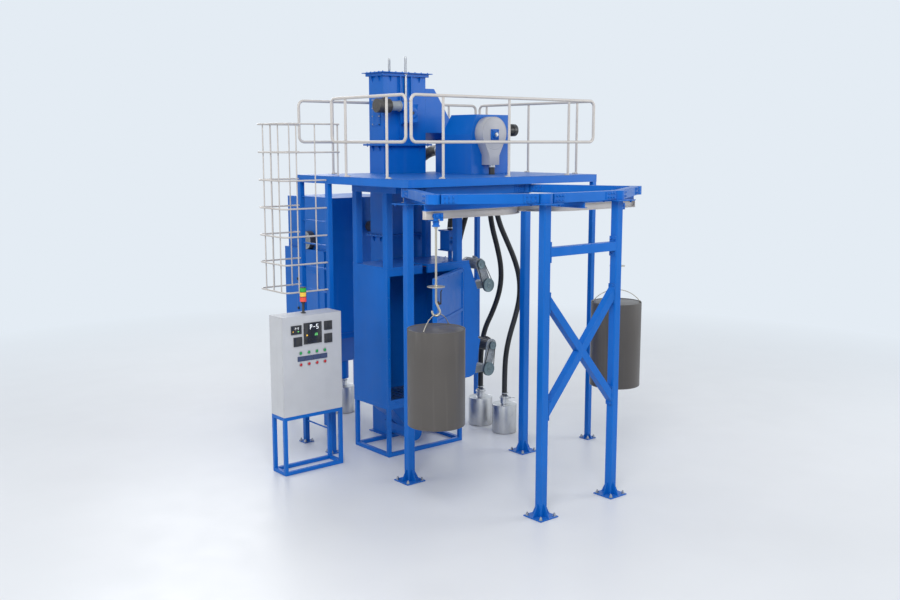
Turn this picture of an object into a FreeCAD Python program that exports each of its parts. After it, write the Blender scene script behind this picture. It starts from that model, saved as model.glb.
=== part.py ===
import FreeCAD, Part
import Sketcher
import math
import os
import re

# Hook-type shot blasting machine with an overhead rail gantry.
# Millimetres, +X to the machine's right, +Y to the back, +Z up.
# The origin is under the middle of the cabinet's front foot rail, on the floor.

SIZES = [
    # clearances
    ("seam", 0.3, "gap left between bars, plates and seats that meet"),
    ("swing_clearance", 6, "room round pieces that swing or roll"),
    # gantry
    ("column_side", 100, "square tube of the gantry columns and braces"),
    ("column_corner", 12, "outside corner radius of the column tube"),
    ("outer_pair_reach", 585, "half distance between the two outer columns"),
    ("inner_pair_reach", 980, "half distance between the two inner columns"),
    ("outer_column_row", 2875, "outer columns, in front of the origin"),
    ("inner_column_row", 945, "inner columns, in front of the origin"),
    ("ring_corner_reach", 1640, "half distance between the ring's side corners"),
    ("ring_corner_row", 2245, "side corners, in front of the origin"),
    ("foot_plate", 280, "side of a foot plate or head plate"),
    ("anchor_pitch", 216, "spacing of the anchor holes"),
    ("anchor_hole", 11, "radius of the anchor holes"),
    ("plate_thick", 12, "foot, head and end plates"),
    ("foot_rib_rise", 150, "height of a foot rib"),
    ("rib_thick", 10, "plate of the ribs"),
    ("ring_under", 3545, "underside of the ring beams"),
    ("ring_depth", 105, "depth of the ring beams"),
    ("ring_width", 100, "width of the ring beams"),
    ("ring_corner_block", 165, "across the round corner block of the ring"),
    ("splice_length", 170, "bolted side plate at a beam's end"),
    ("splice_thick", 8, "thickness of the side plates"),
    ("carrier_side", 75, "rolled beams that carry the rail"),
    ("carrier_web", 8, "web and flanges of those beams"),
    ("tie_drop", 535, "centre of the level tie, under the ring beams"),
    ("cross_drop", 555, "upper ends of the crossed braces, under the tie"),
    ("cross_high", 1220, "from the upper to the lower ends of the braces"),
    ("cross_side", 90, "square tube of the crossed braces"),
    ("end_plate_high", 230, "end plates of the braces"),
    # rail
    ("rail_depth", 90, "height of the running rail"),
    ("rail_width", 62, "flange width of the running rail"),
    ("rail_flange", 9, "flange thickness"),
    ("rail_web", 7, "web thickness"),
    ("rail_row", 2175, "side arms of the rail, in front of the origin"),
    ("rail_end_reach", 1700, "free end of each side arm"),
    ("rail_bend", 600, "radius of the two bends into the trunk"),
    ("trunk_end", 450, "inner end of the trunk, behind the origin"),
    # trolleys, hooks and hung drums
    ("left_trolley_in", 160, "left trolley, from the rail's left end"),
    ("right_trolley_in", 280, "right trolley, from the rail's right end"),
    ("trolley_long", 130, "length of the side plates"),
    ("trolley_plate", 10, "thickness of the side plates"),
    ("roller_radius", 26, "track rollers"),
    ("roller_gap", 8, "rollers from the rail's web"),
    ("axle_proud", 9, "roller axles stand out of the side plates"),
    ("yoke_thick", 14, "plate under the rail that joins the side plates"),
    ("swivel_radius", 34, "swivel barrel under the yoke"),
    ("swivel_high", 62, "height of the swivel barrel"),
    ("swivel_rim", 9, "rim round the barrel's foot"),
    ("swivel_rim_high", 16, "height of that rim"),
    ("rod_radius", 12, "hanger rod and hook"),
    ("guard_disc_radius", 98, "round guard disc on the rod"),
    ("guard_disc_rise", 275, "guard disc over the hook's centre"),
    ("guard_disc_thick", 8, "thickness of the guard disc"),
    ("hook_drop", 1180, "hook's centre under the ring beams"),
    ("hook_bend", 43, "radius of the hook's centre line"),
    ("drum_radius", 322, "hung drum"),
    ("drum_high", 1080, "height of the hung drum"),
    ("bail_drop", 180, "top of the drum under the hook's centre"),
    ("bail_inset", 22, "bail's feet inside the drum's edge"),
    ("bail_radius", 5, "wire of the bail"),
    ("left_hook_turn", -40, "left hook's plane from the rail, degrees"),
    ("right_hook_turn", 50, "right hook's plane from the rail, degrees"),
    ("left_bail_turn", 24, "left bail's plane from the rail, degrees"),
    ("right_bail_turn", -40, "right bail's plane from the rail, degrees"),
    # blast cabinet
    ("cabinet_left", 630, "left face, from the origin"),
    ("cabinet_right", 660, "right face, from the origin"),
    ("cabinet_deep", 790, "depth of the cabinet"),
    ("base_tube", 50, "square tube of the foot frame"),
    ("base_high", 706, "height of the foot frame"),
    ("cabinet_high", 1864, "height of the cabinet"),
    ("wall_thick", 30, "ribbed double wall"),
    ("jamb_left", 45, "frame left of the doorway"),
    ("jamb_right", 60, "frame right of the doorway"),
    ("sill_high", 74, "frame under the doorway"),
    ("header_high", 118, "frame over the doorway"),
    ("slot_wide", 90, "slot in the roof for the hanger rod"),
    ("slot_deep", 430, "length of that slot from the front"),
    ("liner_thick", 8, "wear plates on the ceiling"),
    ("grate_thick", 24, "slotted floor"),
    ("grate_slot", 26, "width of a floor slot"),
    ("grate_pitch", 92, "distance between floor slots"),
    ("grate_edge", 50, "solid edge in front of the slots and behind them"),
    ("hopper_mouth_drop", 446, "depth of the collecting hopper"),
    ("hopper_outlet", 220, "outlet of the collecting hopper"),
    ("sheet_thick", 6, "hopper and duct sheet"),
    ("trough_high", 180, "screw trough under the hopper"),
    # door
    ("door_thick", 62, "thickness of the leaf"),
    ("leaf_rib_proud", 14, "ribs and border stand proud of the leaf's skin"),
    ("leaf_rib", 40, "width of the leaf's two cross ribs"),
    ("leaf_border", 50, "width of the leaf's border"),
    ("door_lap_side", 6, "leaf's lap over the left jamb"),
    ("door_lap_foot", 18, "leaf's lap over the sill"),
    ("door_lap_head", 30, "leaf's lap over the header"),
    ("door_open", 33, "opening angle at rest, degrees"),
    ("hinge_inset", 32, "hinge line inside the cabinet's right face"),
    ("hinge_row", 66, "hinge line, in front of the origin"),
    ("hinge_radius", 17, "hinge barrel"),
    ("hinge_long", 130, "height of a hinge"),
    ("hinge_pin", 8, "radius of the hinge pin"),
    # wheel pockets on the cabinet's right side
    ("pocket_top_deep", 125, "depth of the pocket at the cabinet's top"),
    ("pocket_upper_deep", 300, "depth at the foot of the upper slanted wall"),
    ("pocket_flare_high", 150, "height from the waist to the upper slanted wall"),
    ("pocket_waist_deep", 280, "depth of the waist between the pockets"),
    ("pocket_waist_high", 500, "height of the waist"),
    ("pocket_shoulder_high", 30, "height of the shoulder"),
    ("pocket_shoulder_deep", 340, "depth at the shoulder of the lower slanted wall"),
    ("pocket_lower_high", 490, "height of the lower slanted wall"),
    ("pocket_lower_deep", 240, "depth at the foot of the lower slanted wall"),
    ("pocket_foot_rise", 224, "foot of the lower slanted wall over the foot frame"),
    # belt drives
    ("upper_wheel_out", 171, "upper wheel shaft, out from its slanted wall"),
    ("upper_wheel_rise", 91, "upper wheel shaft over the wall's foot"),
    ("upper_motor_in", 139, "upper motor shaft, in from the wheel shaft"),
    ("upper_motor_rise", 309, "upper motor shaft over the wheel shaft"),
    ("lower_wheel_out", 245, "lower wheel shaft, out from its slanted wall"),
    ("lower_wheel_rise", 42, "lower wheel shaft over the wall's foot"),
    ("lower_motor_out", 74, "lower motor shaft, out from the wheel shaft"),
    ("lower_motor_rise", 333, "lower motor shaft over the wheel shaft"),
    ("wheel_pulley_radius", 98, "large pulley"),
    ("upper_pulley_radius", 66, "upper motor pulley"),
    ("lower_pulley_radius", 58, "lower motor pulley"),
    ("pulley_wide", 30, "width of a pulley"),
    ("groove_wide", 14, "belt groove"),
    ("groove_deep", 11, "belt groove"),
    ("belt_wide", 8.4, "belt"),
    ("belt_thick", 9, "belt"),
    ("pulley_front", 55, "front faces of the pulleys, in front of the origin"),
    ("drive_plate_thick", 14, "plate that holds motor and bearing"),
    ("upper_motor_radius", 74, "upper motor"),
    ("lower_motor_radius", 86, "lower motor"),
    ("drive_motor_long", 290, "length of a drive motor"),
    ("bearing_radius", 58, "wheel shaft bearing housing"),
    ("bearing_long", 190, "length of the bearing housing"),
    ("shaft_radius", 14, "wheel and motor shafts"),
    ("shaft_seat", 60, "length of the wheel shaft in its bearing"),
    ("plate_margin", 14, "drive plate stands out round the bearing"),
    # bucket elevator
    ("elevator_left", 25, "left face, to the left of the origin"),
    ("elevator_wide", 739, "width of the casing"),
    ("elevator_front", 855, "front face, behind the origin"),
    ("elevator_deep", 340, "depth of the casing"),
    ("elevator_boot_top", 900, "joint of the boot"),
    ("mid_joint_drop", 870, "casing joint under the walking surface"),
    ("head_joint_rise", 400, "joint of the head over the walking surface"),
    ("elevator_head_high", 994, "height of the head"),
    ("flange_reach", 42, "flanges of the casing"),
    ("cap_lip", 52, "drop of the cap's lip"),
    ("guide_deep", 34, "guide bars on the head's front face"),
    ("guide_reach", 95, "guide bars, each side of the casing's middle"),
    ("guide_rise", 90, "foot of the guide bars over the head's joint"),
    ("bracket_wide", 140, "bracket under the front take-up screw"),
    ("take_up_radius", 13, "take-up screws"),
    ("take_up_nut", 22, "nuts of the take-up screws"),
    ("take_up_stand", 221, "take-up screws over the casing's top"),
    ("take_up_reach", 324, "front take-up screw under the casing's top"),
    ("reducer_x", 380, "reducer's shaft, from the origin"),
    ("reducer_drop", 557, "reducer's shaft under the casing's top"),
    ("reducer_wide", 190, "reducer housing"),
    ("reducer_high", 268, "reducer housing"),
    ("reducer_lead", 60, "reducer housing in front of the motor's axis"),
    ("gear_motor_rise", 78, "elevator motor's axis over the reducer's shaft"),
    ("gear_motor_radius", 92, "elevator motor"),
    ("gear_motor_long", 300, "length of the elevator motor"),
    ("gear_cowl_long", 72, "length of its fan cowl"),
    ("worm_lead", 95, "worm case stands out of the reducer's side"),
    ("cowl_proud", 5, "motor cowls stand proud of their motors"),
    ("gear_motor_end", 287, "motor's free end, left of the origin"),
    # platform
    ("deck_left", 1110, "left edge, from the origin"),
    ("deck_right", 2160, "right edge, from the origin"),
    ("deck_front", 1120, "front edge, from the origin"),
    ("deck_behind", 180, "deck behind the elevator's casing"),
    ("deck_rise", 215, "walking surface over the ring beams' underside"),
    ("deck_plate", 6, "deck plate"),
    ("deck_hole_gap", 25, "room between the deck and the elevator's casing"),
    ("fascia_depth", 100, "edge of the deck, plate and frame"),
    ("deck_beam_wide", 60, "edge and cross beams of the deck"),
    ("leg_side", 70, "platform legs"),
    ("subframe_post", 100, "posts on the cabinet"),
    # guard rails and ladder
    ("rail_tube", 19, "radius of the guard rail tube"),
    ("post_tube", 17, "radius of the posts"),
    ("handrail_high", 990, "top rail over the deck"),
    ("knee_rail_high", 440, "lower rail over the deck"),
    ("rail_corner", 75, "corner radius of the rail frames"),
    ("rail_inset", 20, "rail line inside the deck's edge"),
    ("ladder_wide", 720, "width over the ladder's stiles"),
    ("rung_pitch", 315, "distance between rungs"),
    ("rung_radius", 11, "rungs"),
    ("cage_deep", 640, "depth of the ladder cage"),
    ("cage_bar", 11, "radius of cage bars"),
    ("cage_bend", 90, "corner radius of the hoops"),
    ("cage_foot", 2260, "lowest hoop"),
    ("cage_head_drop", 320, "highest hoop under the top rail"),
    ("cage_reach_back", 215, "top hoops run in over the deck"),
    ("back_rail_lead", 15, "back rail frame starts this far inside the left rail line"),
    # separator
    ("separator_left", 710, "left face"),
    ("separator_wide", 680, "width of the separator"),
    ("separator_front", 155, "front face, in front of the origin"),
    ("separator_back", 490, "back face, behind the origin"),
    ("separator_high", 810, "height of the separator"),
    ("separator_fall", 270, "eaves of the sloped left side and back, under the top"),
    ("separator_lean_left", 80, "left side leans in from the eaves to the top"),
    ("separator_lean_back", 120, "back leans in from the eaves to the top"),
    ("inlet_wide", 220, "inlet box behind the separator"),
    ("tailings_in", 275, "round housing's centre, from the separator's left face"),
    ("tailings_rise", 560, "round housing's centre over the deck"),
    ("tailings_radius", 220, "round housing"),
    ("tailings_deep", 160, "thickness of the round housing"),
    ("tailings_drop", 320, "top of the spout under the housing's centre"),
    ("tailings_neck_wide", 110, "width of its spout"),
    ("spout_high", 110, "height of the spout"),
    ("bearing_aside", 60, "screw's bearing, right of the round housing's centre"),
    ("bearing_flange", 124, "side of that bearing's flange"),
    ("screw_shaft", 20, "radius of the separator screw's shaft"),
    ("screw_motor_radius", 86, "separator motor"),
    ("screw_motor_long", 260, "length of the separator motor"),
    ("screw_motor_rise", 605, "separator motor's axis over the deck"),
    # chute from the elevator to the separator
    ("chute_drop", 205, "top of the chute under the casing's top"),
    ("chute_shoulder", 157, "level top part beside the elevator"),
    ("chute_fall", 764, "drop of the sloped top"),
    ("chute_high", 620, "height of the chute's front face"),
    ("chute_rake", 130, "underside falls this far to the back"),
    # control panel
    ("panel_left", 2100, "left face, left of the origin"),
    ("panel_wide", 874, "width of the enclosure"),
    ("panel_front", 181, "front face of the door, behind the origin"),
    ("panel_deep", 311, "depth with its door"),
    ("panel_foot", 762, "underside"),
    ("panel_high", 1278, "height of the enclosure"),
    ("panel_sheet", 4, "enclosure sheet"),
    ("panel_door_thick", 20, "folded door"),
    ("mounting_plate", 8, "plate on the enclosure's back"),
    ("plate_border", 50, "that plate inside the enclosure's edges"),
    ("lamp_radius", 17, "lamps and buttons on the door"),
    ("lamp_out", 22, "lamps and buttons stand out of the door"),
    ("lamp_pitch", 88, "distance between lamps"),
    ("lamp_first", 296, "first lamp, from the door's left edge"),
    ("green_lamp_rise", 726, "upper row of lamps, over the door's foot"),
    ("red_lamp_rise", 560, "lower row of buttons, over the door's foot"),
    ("stand_tube", 45, "square tube of the stand"),
    ("mast_high", 150, "pole of the stack light"),
    ("lens_radius", 41, "lenses of the stack light"),
    ("lens_high", 62, "lenses of the stack light"),
    # dust collector
    ("collector_x", 235, "centre"),
    ("collector_gap", 450, "collector's front face behind the deck"),
    ("collector_wide", 1310, "lower body"),
    ("collector_long", 1100, "lower body"),
    ("collector_floor", 1290, "foot of the lower body"),
    ("collector_low_high", 1330, "height of the lower body"),
    ("collector_up_high", 770, "height of the upper body"),
    ("collector_step", 70, "ledge round the upper body"),
    ("band_proud", 14, "stiffening band round the lower body"),
    ("collector_hopper_deep", 460, "depth of the collector's hopper"),
    ("collector_leg", 80, "legs"),
    ("collector_neck", 95, "radius of the outlet neck"),
    ("fan_radius", 135, "fan on the ledge"),
    ("dust_duct", 80, "radius of the dust duct"),
    ("duct_in", 90, "dust duct at the inlet box, from the box's right side"),
    ("duct_rise", 315, "dust duct over the deck"),
    ("duct_lead", 275, "level run behind the inlet box"),
    ("duct_slant", 585, "fall of the slanted run"),
    ("duct_behind", 245, "duct's drop behind the deck"),
    ("duct_drop_x", 400, "duct's drop, from the origin"),
    ("duct_inlet_rise", 330, "duct's inlet over the collector's ledge"),
    ("duct_bend", 135, "smallest bend of the duct"),
    # bins
    ("bin_radius", 178, "bins"),
    ("bin_high", 430, "body of a bin"),
    ("bin_neck", 60, "radius of a bin's neck"),
    ("bin_neck_high", 115, "height of a bin's neck"),
    ("front_bin_x", 1430, "front bin"),
    ("front_bin_y", -75, "front bin"),
    ("rear_bin_x", 1440, "rear bin"),
    ("rear_bin_y", 465, "rear bin"),
    # shot valve and hoses
    ("valve_x", 700, "shot valve"),
    ("valve_y", 290, "shot valve"),
    ("valve_side", 200, "body of the valve"),
    ("valve_rise", 120, "foot of the valve over the cabinet"),
    ("valve_high", 290, "height of the valve"),
    ("valve_flange", 14, "flanges at the valve's foot and head"),
    ("actuator_radius", 26, "valve's actuator"),
    ("actuator_long", 60, "length of the actuator"),
    ("valve_pipe", 30, "radius of the pipe under the valve"),
    ("hose_radius", 38, "hoses"),
    ("spigot_radius", 46, "hose spigots under the deck"),
    ("spigot_long", 160, "foot of the spigots under the walking surface"),
    ("wheel_feed_out", 220, "shot inlet of the upper wheel, from the cabinet's right face"),
    ("wheel_feed_y", 345, "shot inlet of the upper wheel"),
    ("wheel_feed_rise", 370, "top of that inlet over the slanted wall's foot"),
]

# Places and levels that follow from the sizes above.
PLACES = [
    ("left_trolley_at", "rail_end_reach - left_trolley_in", "left trolley, left of the centre line"),
    ("right_trolley_at", "rail_end_reach - right_trolley_in", "right trolley, right of the centre line"),
    ("tie_level", "ring_under - tie_drop", "centre of the level tie"),
    ("cross_top", "tie_level - cross_drop", "upper ends of the crossed braces"),
    ("cross_bottom", "cross_top - cross_high", "lower ends of the crossed braces"),
    ("hook_centre", "ring_under - hook_drop", "level of the hook's centre"),
    ("guard_disc_level", "hook_centre + guard_disc_rise", "level of the guard disc"),
    ("drum_top", "hook_centre - bail_drop", "top of the hung drum"),
    ("drum_bottom", "drum_top - drum_high", "underside of the hung drum"),
    ("bail_reach", "drum_radius - bail_inset", "bail's foot from the drum's axis"),
    ("cabinet_top", "base_high + cabinet_high", "top of the cabinet"),
    ("door_bottom", "base_high + sill_high - door_lap_foot", "underside of the leaf"),
    ("door_top", "cabinet_top - header_high + door_lap_head", "top of the leaf"),
    ("hinge_right", "cabinet_right - hinge_inset", "hinge line, to the right of the origin"),
    ("door_wide",
     "hinge_right - hinge_radius - swing_clearance + cabinet_left - jamb_left + door_lap_side",
     "width of the leaf"),
    ("pocket_top_out", "cabinet_right + pocket_top_deep", "pocket at the cabinet's top"),
    ("pocket_upper_out", "cabinet_right + pocket_upper_deep", "foot of the upper slanted wall"),
    ("pocket_waist_out", "cabinet_right + pocket_waist_deep", "waist between the pockets"),
    ("pocket_lower_out", "cabinet_right + pocket_shoulder_deep", "shoulder of the lower slanted wall"),
    ("pocket_lower_in", "cabinet_right + pocket_lower_deep", "foot of the lower slanted wall"),
    ("pocket_lower_foot", "base_high + pocket_foot_rise", "level of that foot"),
    ("pocket_lower_top", "pocket_lower_foot + pocket_lower_high", "level of that shoulder"),
    ("pocket_waist_foot", "pocket_lower_top + pocket_shoulder_high", "foot of the waist"),
    ("pocket_waist_top", "pocket_waist_foot + pocket_waist_high", "top of the waist"),
    ("pocket_upper_foot", "pocket_waist_top + pocket_flare_high", "level of the upper slanted wall's foot"),
    ("upper_wheel_x", "pocket_upper_out + upper_wheel_out", "upper wheel shaft"),
    ("upper_wheel_z", "pocket_upper_foot + upper_wheel_rise", "upper wheel shaft"),
    ("upper_motor_x", "upper_wheel_x - upper_motor_in", "upper motor shaft"),
    ("upper_motor_z", "upper_wheel_z + upper_motor_rise", "upper motor shaft"),
    ("lower_wheel_x", "pocket_lower_in + lower_wheel_out", "lower wheel shaft"),
    ("lower_wheel_z", "pocket_lower_foot + lower_wheel_rise", "lower wheel shaft"),
    ("lower_motor_x", "lower_wheel_x + lower_motor_out", "lower motor shaft"),
    ("lower_motor_z", "lower_wheel_z + lower_motor_rise", "lower motor shaft"),
    ("deck_top", "ring_under + deck_rise", "walking surface"),
    ("elevator_mid_joint", "deck_top - mid_joint_drop", "joint under the platform"),
    ("elevator_head_joint", "deck_top + head_joint_rise", "joint of the head"),
    ("elevator_top", "elevator_head_joint + elevator_head_high", "top of the casing"),
    ("take_up_top", "elevator_top + take_up_stand", "top of the take-up screws"),
    ("take_up_foot", "elevator_top - take_up_reach", "foot of the front take-up screw"),
    ("reducer_level", "elevator_top - reducer_drop", "reducer's shaft"),
    ("gear_motor_level", "reducer_level + gear_motor_rise", "axis of the elevator motor"),
    ("deck_back", "elevator_front + elevator_deep + deck_behind", "back edge, from the origin"),
    ("handrail_level", "deck_top + handrail_high", "top rail"),
    ("knee_rail_level", "deck_top + knee_rail_high", "lower rail"),
    ("ladder_back", "deck_back", "back stile of the ladder, behind the origin"),
    ("ladder_front", "ladder_back - ladder_wide", "front stile of the ladder, behind the origin"),
    ("cage_top", "handrail_level - cage_head_drop", "highest hoop"),
    ("separator_right", "separator_left + separator_wide", "right face"),
    ("separator_top", "deck_top + separator_high", "top"),
    ("separator_eaves", "separator_top - separator_fall", "foot of the sloped sides"),
    ("inlet_left", "separator_right - inlet_wide", "left face of the inlet box"),
    ("tailings_x", "separator_left + tailings_in", "centre of the round housing"),
    ("tailings_level", "deck_top + tailings_rise", "centre of the round housing"),
    ("tailings_neck_level", "tailings_level - tailings_drop", "top of its spout"),
    ("tailings_foot", "tailings_neck_level - spout_high", "foot of its spout"),
    ("screw_motor_end", "separator_right + screw_motor_long", "free end of the separator motor"),
    ("screw_motor_level", "deck_top + screw_motor_rise", "axis of the separator motor"),
    ("chute_top", "elevator_top - chute_drop", "top of the chute"),
    ("chute_foot", "chute_top - chute_high", "front edge of the chute's underside"),
    ("panel_top", "panel_foot + panel_high", "top"),
    ("collector_row", "deck_back + collector_gap + collector_long / 2", "centre, behind the origin"),
    ("collector_ledge", "collector_floor + collector_low_high", "top of the lower body"),
    ("collector_top", "collector_ledge + collector_up_high", "top of the upper body"),
    ("duct_level", "deck_top + duct_rise", "level of the duct behind the separator"),
    ("duct_row", "deck_back + duct_behind", "duct's drop, behind the origin"),
    ("duct_inlet", "collector_ledge + duct_inlet_rise", "level of the duct's inlet"),
    ("collector_outlet", "collector_floor - collector_hopper_deep", "foot of its hopper"),
    ("bin_total", "bin_high + bin_neck_high", "top of a bin's neck"),
    ("valve_foot", "cabinet_top + valve_rise", "foot of the valve"),
    ("valve_head", "valve_foot + valve_high", "top of the valve"),
    ("spigot_foot", "deck_top - spigot_long", "foot of the spigots"),
    ("wheel_feed_x", "cabinet_right + wheel_feed_out", "shot inlet of the upper wheel"),
    ("wheel_feed_top", "pocket_upper_foot + wheel_feed_rise", "top of that inlet"),
]

doc = FreeCAD.newDocument("hook_blast_machine")
sheet = doc.addObject("Spreadsheet::Sheet", "Sizes")
for row, (alias, content, note) in enumerate(SIZES + PLACES, start=1):
    sheet.set("A%d" % row, note)
    sheet.set("B%d" % row, "=" + content if isinstance(content, str) else str(content))
    sheet.setAlias("B%d" % row, alias)
doc.recompute()

ALIASES = {alias for alias, content, note in SIZES + PLACES}
nodes = []


def formula(text):
    """An expression in which each size name points at its cell."""
    def cell(match):
        word = match.group(0)
        return "Sizes." + word if word in ALIASES else word
    return re.sub(r"[a-z][a-z_]*", cell, str(text))


def value(text):
    """The number that an expression of size names gives now."""
    result = sheet.evalExpression(formula(text))
    return float(getattr(result, "Value", result))


def bind(thing, **sizes):
    for prop, text in sizes.items():
        thing.setExpression(prop, formula(text))


def put(thing, x, y, z, axis=None, turn=0):
    """Set a piece at x, y, z, turned by a fixed angle or by an expression."""
    if axis is not None:
        fixed = isinstance(turn, (int, float))
        angle = turn if fixed else 1
        turned = FreeCAD.Rotation(FreeCAD.Vector(*axis), angle)
        thing.Placement = FreeCAD.Placement(FreeCAD.Vector(), turned)
        if not fixed:
            thing.setExpression("Placement.Rotation.Angle", formula(turn))
    for letter, text in zip("xyz", (x, y, z)):
        thing.setExpression("Placement.Base." + letter, formula(text))
    return thing


def block(name, low, high):
    """A box between two corners, each given as three expressions."""
    box = doc.addObject("Part::Box", name)
    spans = ["(%s) - (%s)" % (top, bottom) for bottom, top in zip(low, high)]
    bind(box, Length=spans[0], Width=spans[1], Height=spans[2])
    return put(box, *low)


def post(name, x, y, bottom, top, side, corner=None):
    """An upright square bar, with rounded corners where a radius is given."""
    low = ["(%s) - (%s) / 2" % (x, side), "(%s) - (%s) / 2" % (y, side), bottom]
    high = ["(%s) + (%s) / 2" % (x, side), "(%s) + (%s) / 2" % (y, side), top]
    bar = block(name, low, high)
    if corner is None:
        return bar
    rounded = doc.addObject("Part::Fillet", name + "_rounded")
    rounded.Base = bar
    rounded.Edges = [(edge, value(corner), value(corner)) for edge in (1, 3, 5, 7)]
    return rounded


def rod(name, radius, x, y, z, length, along="z"):
    """A round bar from a point, along +x, +y, -y or +z."""
    bar = doc.addObject("Part::Cylinder", name)
    bind(bar, Radius=radius, Height=length)
    turns = {"x": ((0, 1, 0), 90), "y": ((1, 0, 0), -90), "-y": ((1, 0, 0), 90), "z": (None, 0)}
    return put(bar, x, y, z, *turns[along])


def fuse(name, parts):
    joined = doc.addObject("Part::MultiFuse", name)
    joined.Shapes = parts
    return joined


def cut(name, base, tool):
    trimmed = doc.addObject("Part::Cut", name)
    trimmed.Base = base
    trimmed.Tool = tool
    return trimmed


def overlap(name, first, second):
    common = doc.addObject("Part::Common", name)
    common.Base = first
    common.Tool = second
    return common


def node(label, parts):
    """A finished sub-part: one solid, or several that do not touch."""
    piece = parts[0]
    if len(parts) > 1:
        piece = doc.addObject("Part::Compound", label + "_set")
        piece.Links = parts
    piece.Label = label
    nodes.append(piece)
    return piece


def solid_node(label, shape):
    """A finished sub-part whose shape is worked out from the sheet's sizes."""
    piece = doc.addObject("Part::Feature", label + "_shape")
    piece.Shape = shape
    piece.Label = label
    nodes.append(piece)
    return piece


def outline(body, plane, points, name="outline"):
    """A closed sketch of straight lines on a body's own plane, each point bound to sizes."""
    role = {"xy": "XY_Plane", "xz": "XZ_Plane", "yz": "YZ_Plane"}[plane]
    base = [item for item in body.Origin.OriginFeatures if item.Role == role][0]
    sketch = body.newObject("Sketcher::SketchObject", "%s_%s" % (body.Name, name))
    sketch.AttachmentSupport = [(base, "")]
    sketch.MapMode = "FlatFace"
    places = [FreeCAD.Vector(value(across), value(up), 0) for across, up in points]
    count = len(places)
    for index in range(count):
        sketch.addGeometry(Part.LineSegment(places[index], places[(index + 1) % count]))
    for index in range(count):
        sketch.addConstraint(Sketcher.Constraint("Coincident", index, 2, (index + 1) % count, 1))
    for index, (across, up) in enumerate(points):
        for kind, text in (("DistanceX", across), ("DistanceY", up)):
            number = sketch.addConstraint(Sketcher.Constraint(kind, -1, 1, index, 1, value(text)))
            sketch.setExpression("Constraints[%d]" % number, formula(text))
    return sketch


def prism(name, plane, points, start, end):
    """An outline made solid from start to end, along the axis across its plane."""
    body = doc.addObject("PartDesign::Body", name)
    sketch = outline(body, plane, points)
    pad = body.newObject("PartDesign::Pad", name + "_pad")
    pad.Profile = sketch
    bind(pad, Length="(%s) - (%s)" % (end, start))
    places = {"xy": (0, 0, start), "xz": (0, end, 0), "yz": (start, 0, 0)}
    return put(body, *places[plane])


def turned(name, points):
    """A body of revolution about its own Z axis, from (radius, height) points."""
    body = doc.addObject("PartDesign::Body", name)
    sketch = outline(body, "xz", points)
    spin = body.newObject("PartDesign::Revolution", name + "_spin")
    spin.Profile = sketch
    spin.ReferenceAxis = (sketch, ["V_Axis"])
    spin.Angle = 360
    return body


def rib(name, reach, rise, thick, x, y, z, way):
    """A three-cornered rib: right angle at the point, reaching out along way."""
    wedge = doc.addObject("Part::Wedge", name)
    bind(wedge, Xmin=0, Xmax=reach, X2min=0, X2max="(%s) * 0.08" % reach)
    bind(wedge, Ymin=0, Ymax=rise, Zmin=0, Zmax=thick, Z2min=0, Z2max=thick)
    upright = FreeCAD.Rotation(FreeCAD.Vector(1, 0, 0), 90)
    across = {0: (0, 1), 90: (-1, 0), 180: (0, -1), 270: (1, 0)}[way]
    wedge.Placement = FreeCAD.Placement(
        FreeCAD.Vector(), FreeCAD.Rotation(FreeCAD.Vector(0, 0, 1), way).multiply(upright))
    return put(wedge, "(%s) + %d * (%s) / 2" % (x, across[0], thick),
               "(%s) + %d * (%s) / 2" % (y, across[1], thick), z)


def beam(name, start, end, width, low, depth, back_off):
    """A level bar between two points, kept back from both by a distance."""
    run_x = "((%s) - (%s))" % (end[0], start[0])
    run_y = "((%s) - (%s))" % (end[1], start[1])
    far = "sqrt(%s ^ 2 + %s ^ 2)" % (run_x, run_y)
    bar = doc.addObject("Part::Box", name)
    bind(bar, Length="%s - 2 * (%s)" % (far, back_off), Width=width, Height=depth)
    x = "(%s) + ((%s) * %s + (%s) / 2 * %s) / %s" % (start[0], back_off, run_x, width, run_y, far)
    y = "(%s) + ((%s) * %s - (%s) / 2 * %s) / %s" % (start[1], back_off, run_y, width, run_x, far)
    return put(bar, x, y, low, (0, 0, 1), "atan2(%s; %s)" % (run_y, run_x))


def rounded_path(points, radii):
    """Straight runs joined by tangent arcs, as one wire."""
    edges = []
    here = points[0]
    for before, corner, after, radius in zip(points, points[1:], points[2:], radii):
        inward = (corner - before).normalize()
        outward = (after - corner).normalize()
        half = inward.getAngle(outward) / 2
        reach = radius * math.tan(half)
        enter = corner - inward * reach
        leave = corner + outward * reach
        middle = (outward - inward).normalize() * (radius / math.cos(half) - radius) + corner
        if (enter - here).Length > 0.001:
            edges.append(Part.LineSegment(here, enter).toShape())
        edges.append(Part.Arc(enter, middle, leave).toShape())
        here = leave
    edges.append(Part.LineSegment(here, points[-1]).toShape())
    return Part.Wire(edges)


def tube_along(path, radius):
    """A round bar along a wire."""
    first = path.Edges[0]
    start = first.valueAt(first.FirstParameter)
    ahead = first.tangentAt(first.FirstParameter)
    ring = Part.Wire(Part.makeCircle(radius, start, ahead))
    return path.makePipeShell([ring], True, False)


# The gantry's six corners, as X and Y, going round from the left inner column.
CORNERS = [
    ("-inner_pair_reach", "-inner_column_row"),
    ("-ring_corner_reach", "-ring_corner_row"),
    ("-outer_pair_reach", "-outer_column_row"),
    ("outer_pair_reach", "-outer_column_row"),
    ("ring_corner_reach", "-ring_corner_row"),
    ("inner_pair_reach", "-inner_column_row"),
]
COLUMN_NAMES = {0: "left_inner", 2: "left_outer", 3: "right_outer", 5: "right_inner"}


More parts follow.
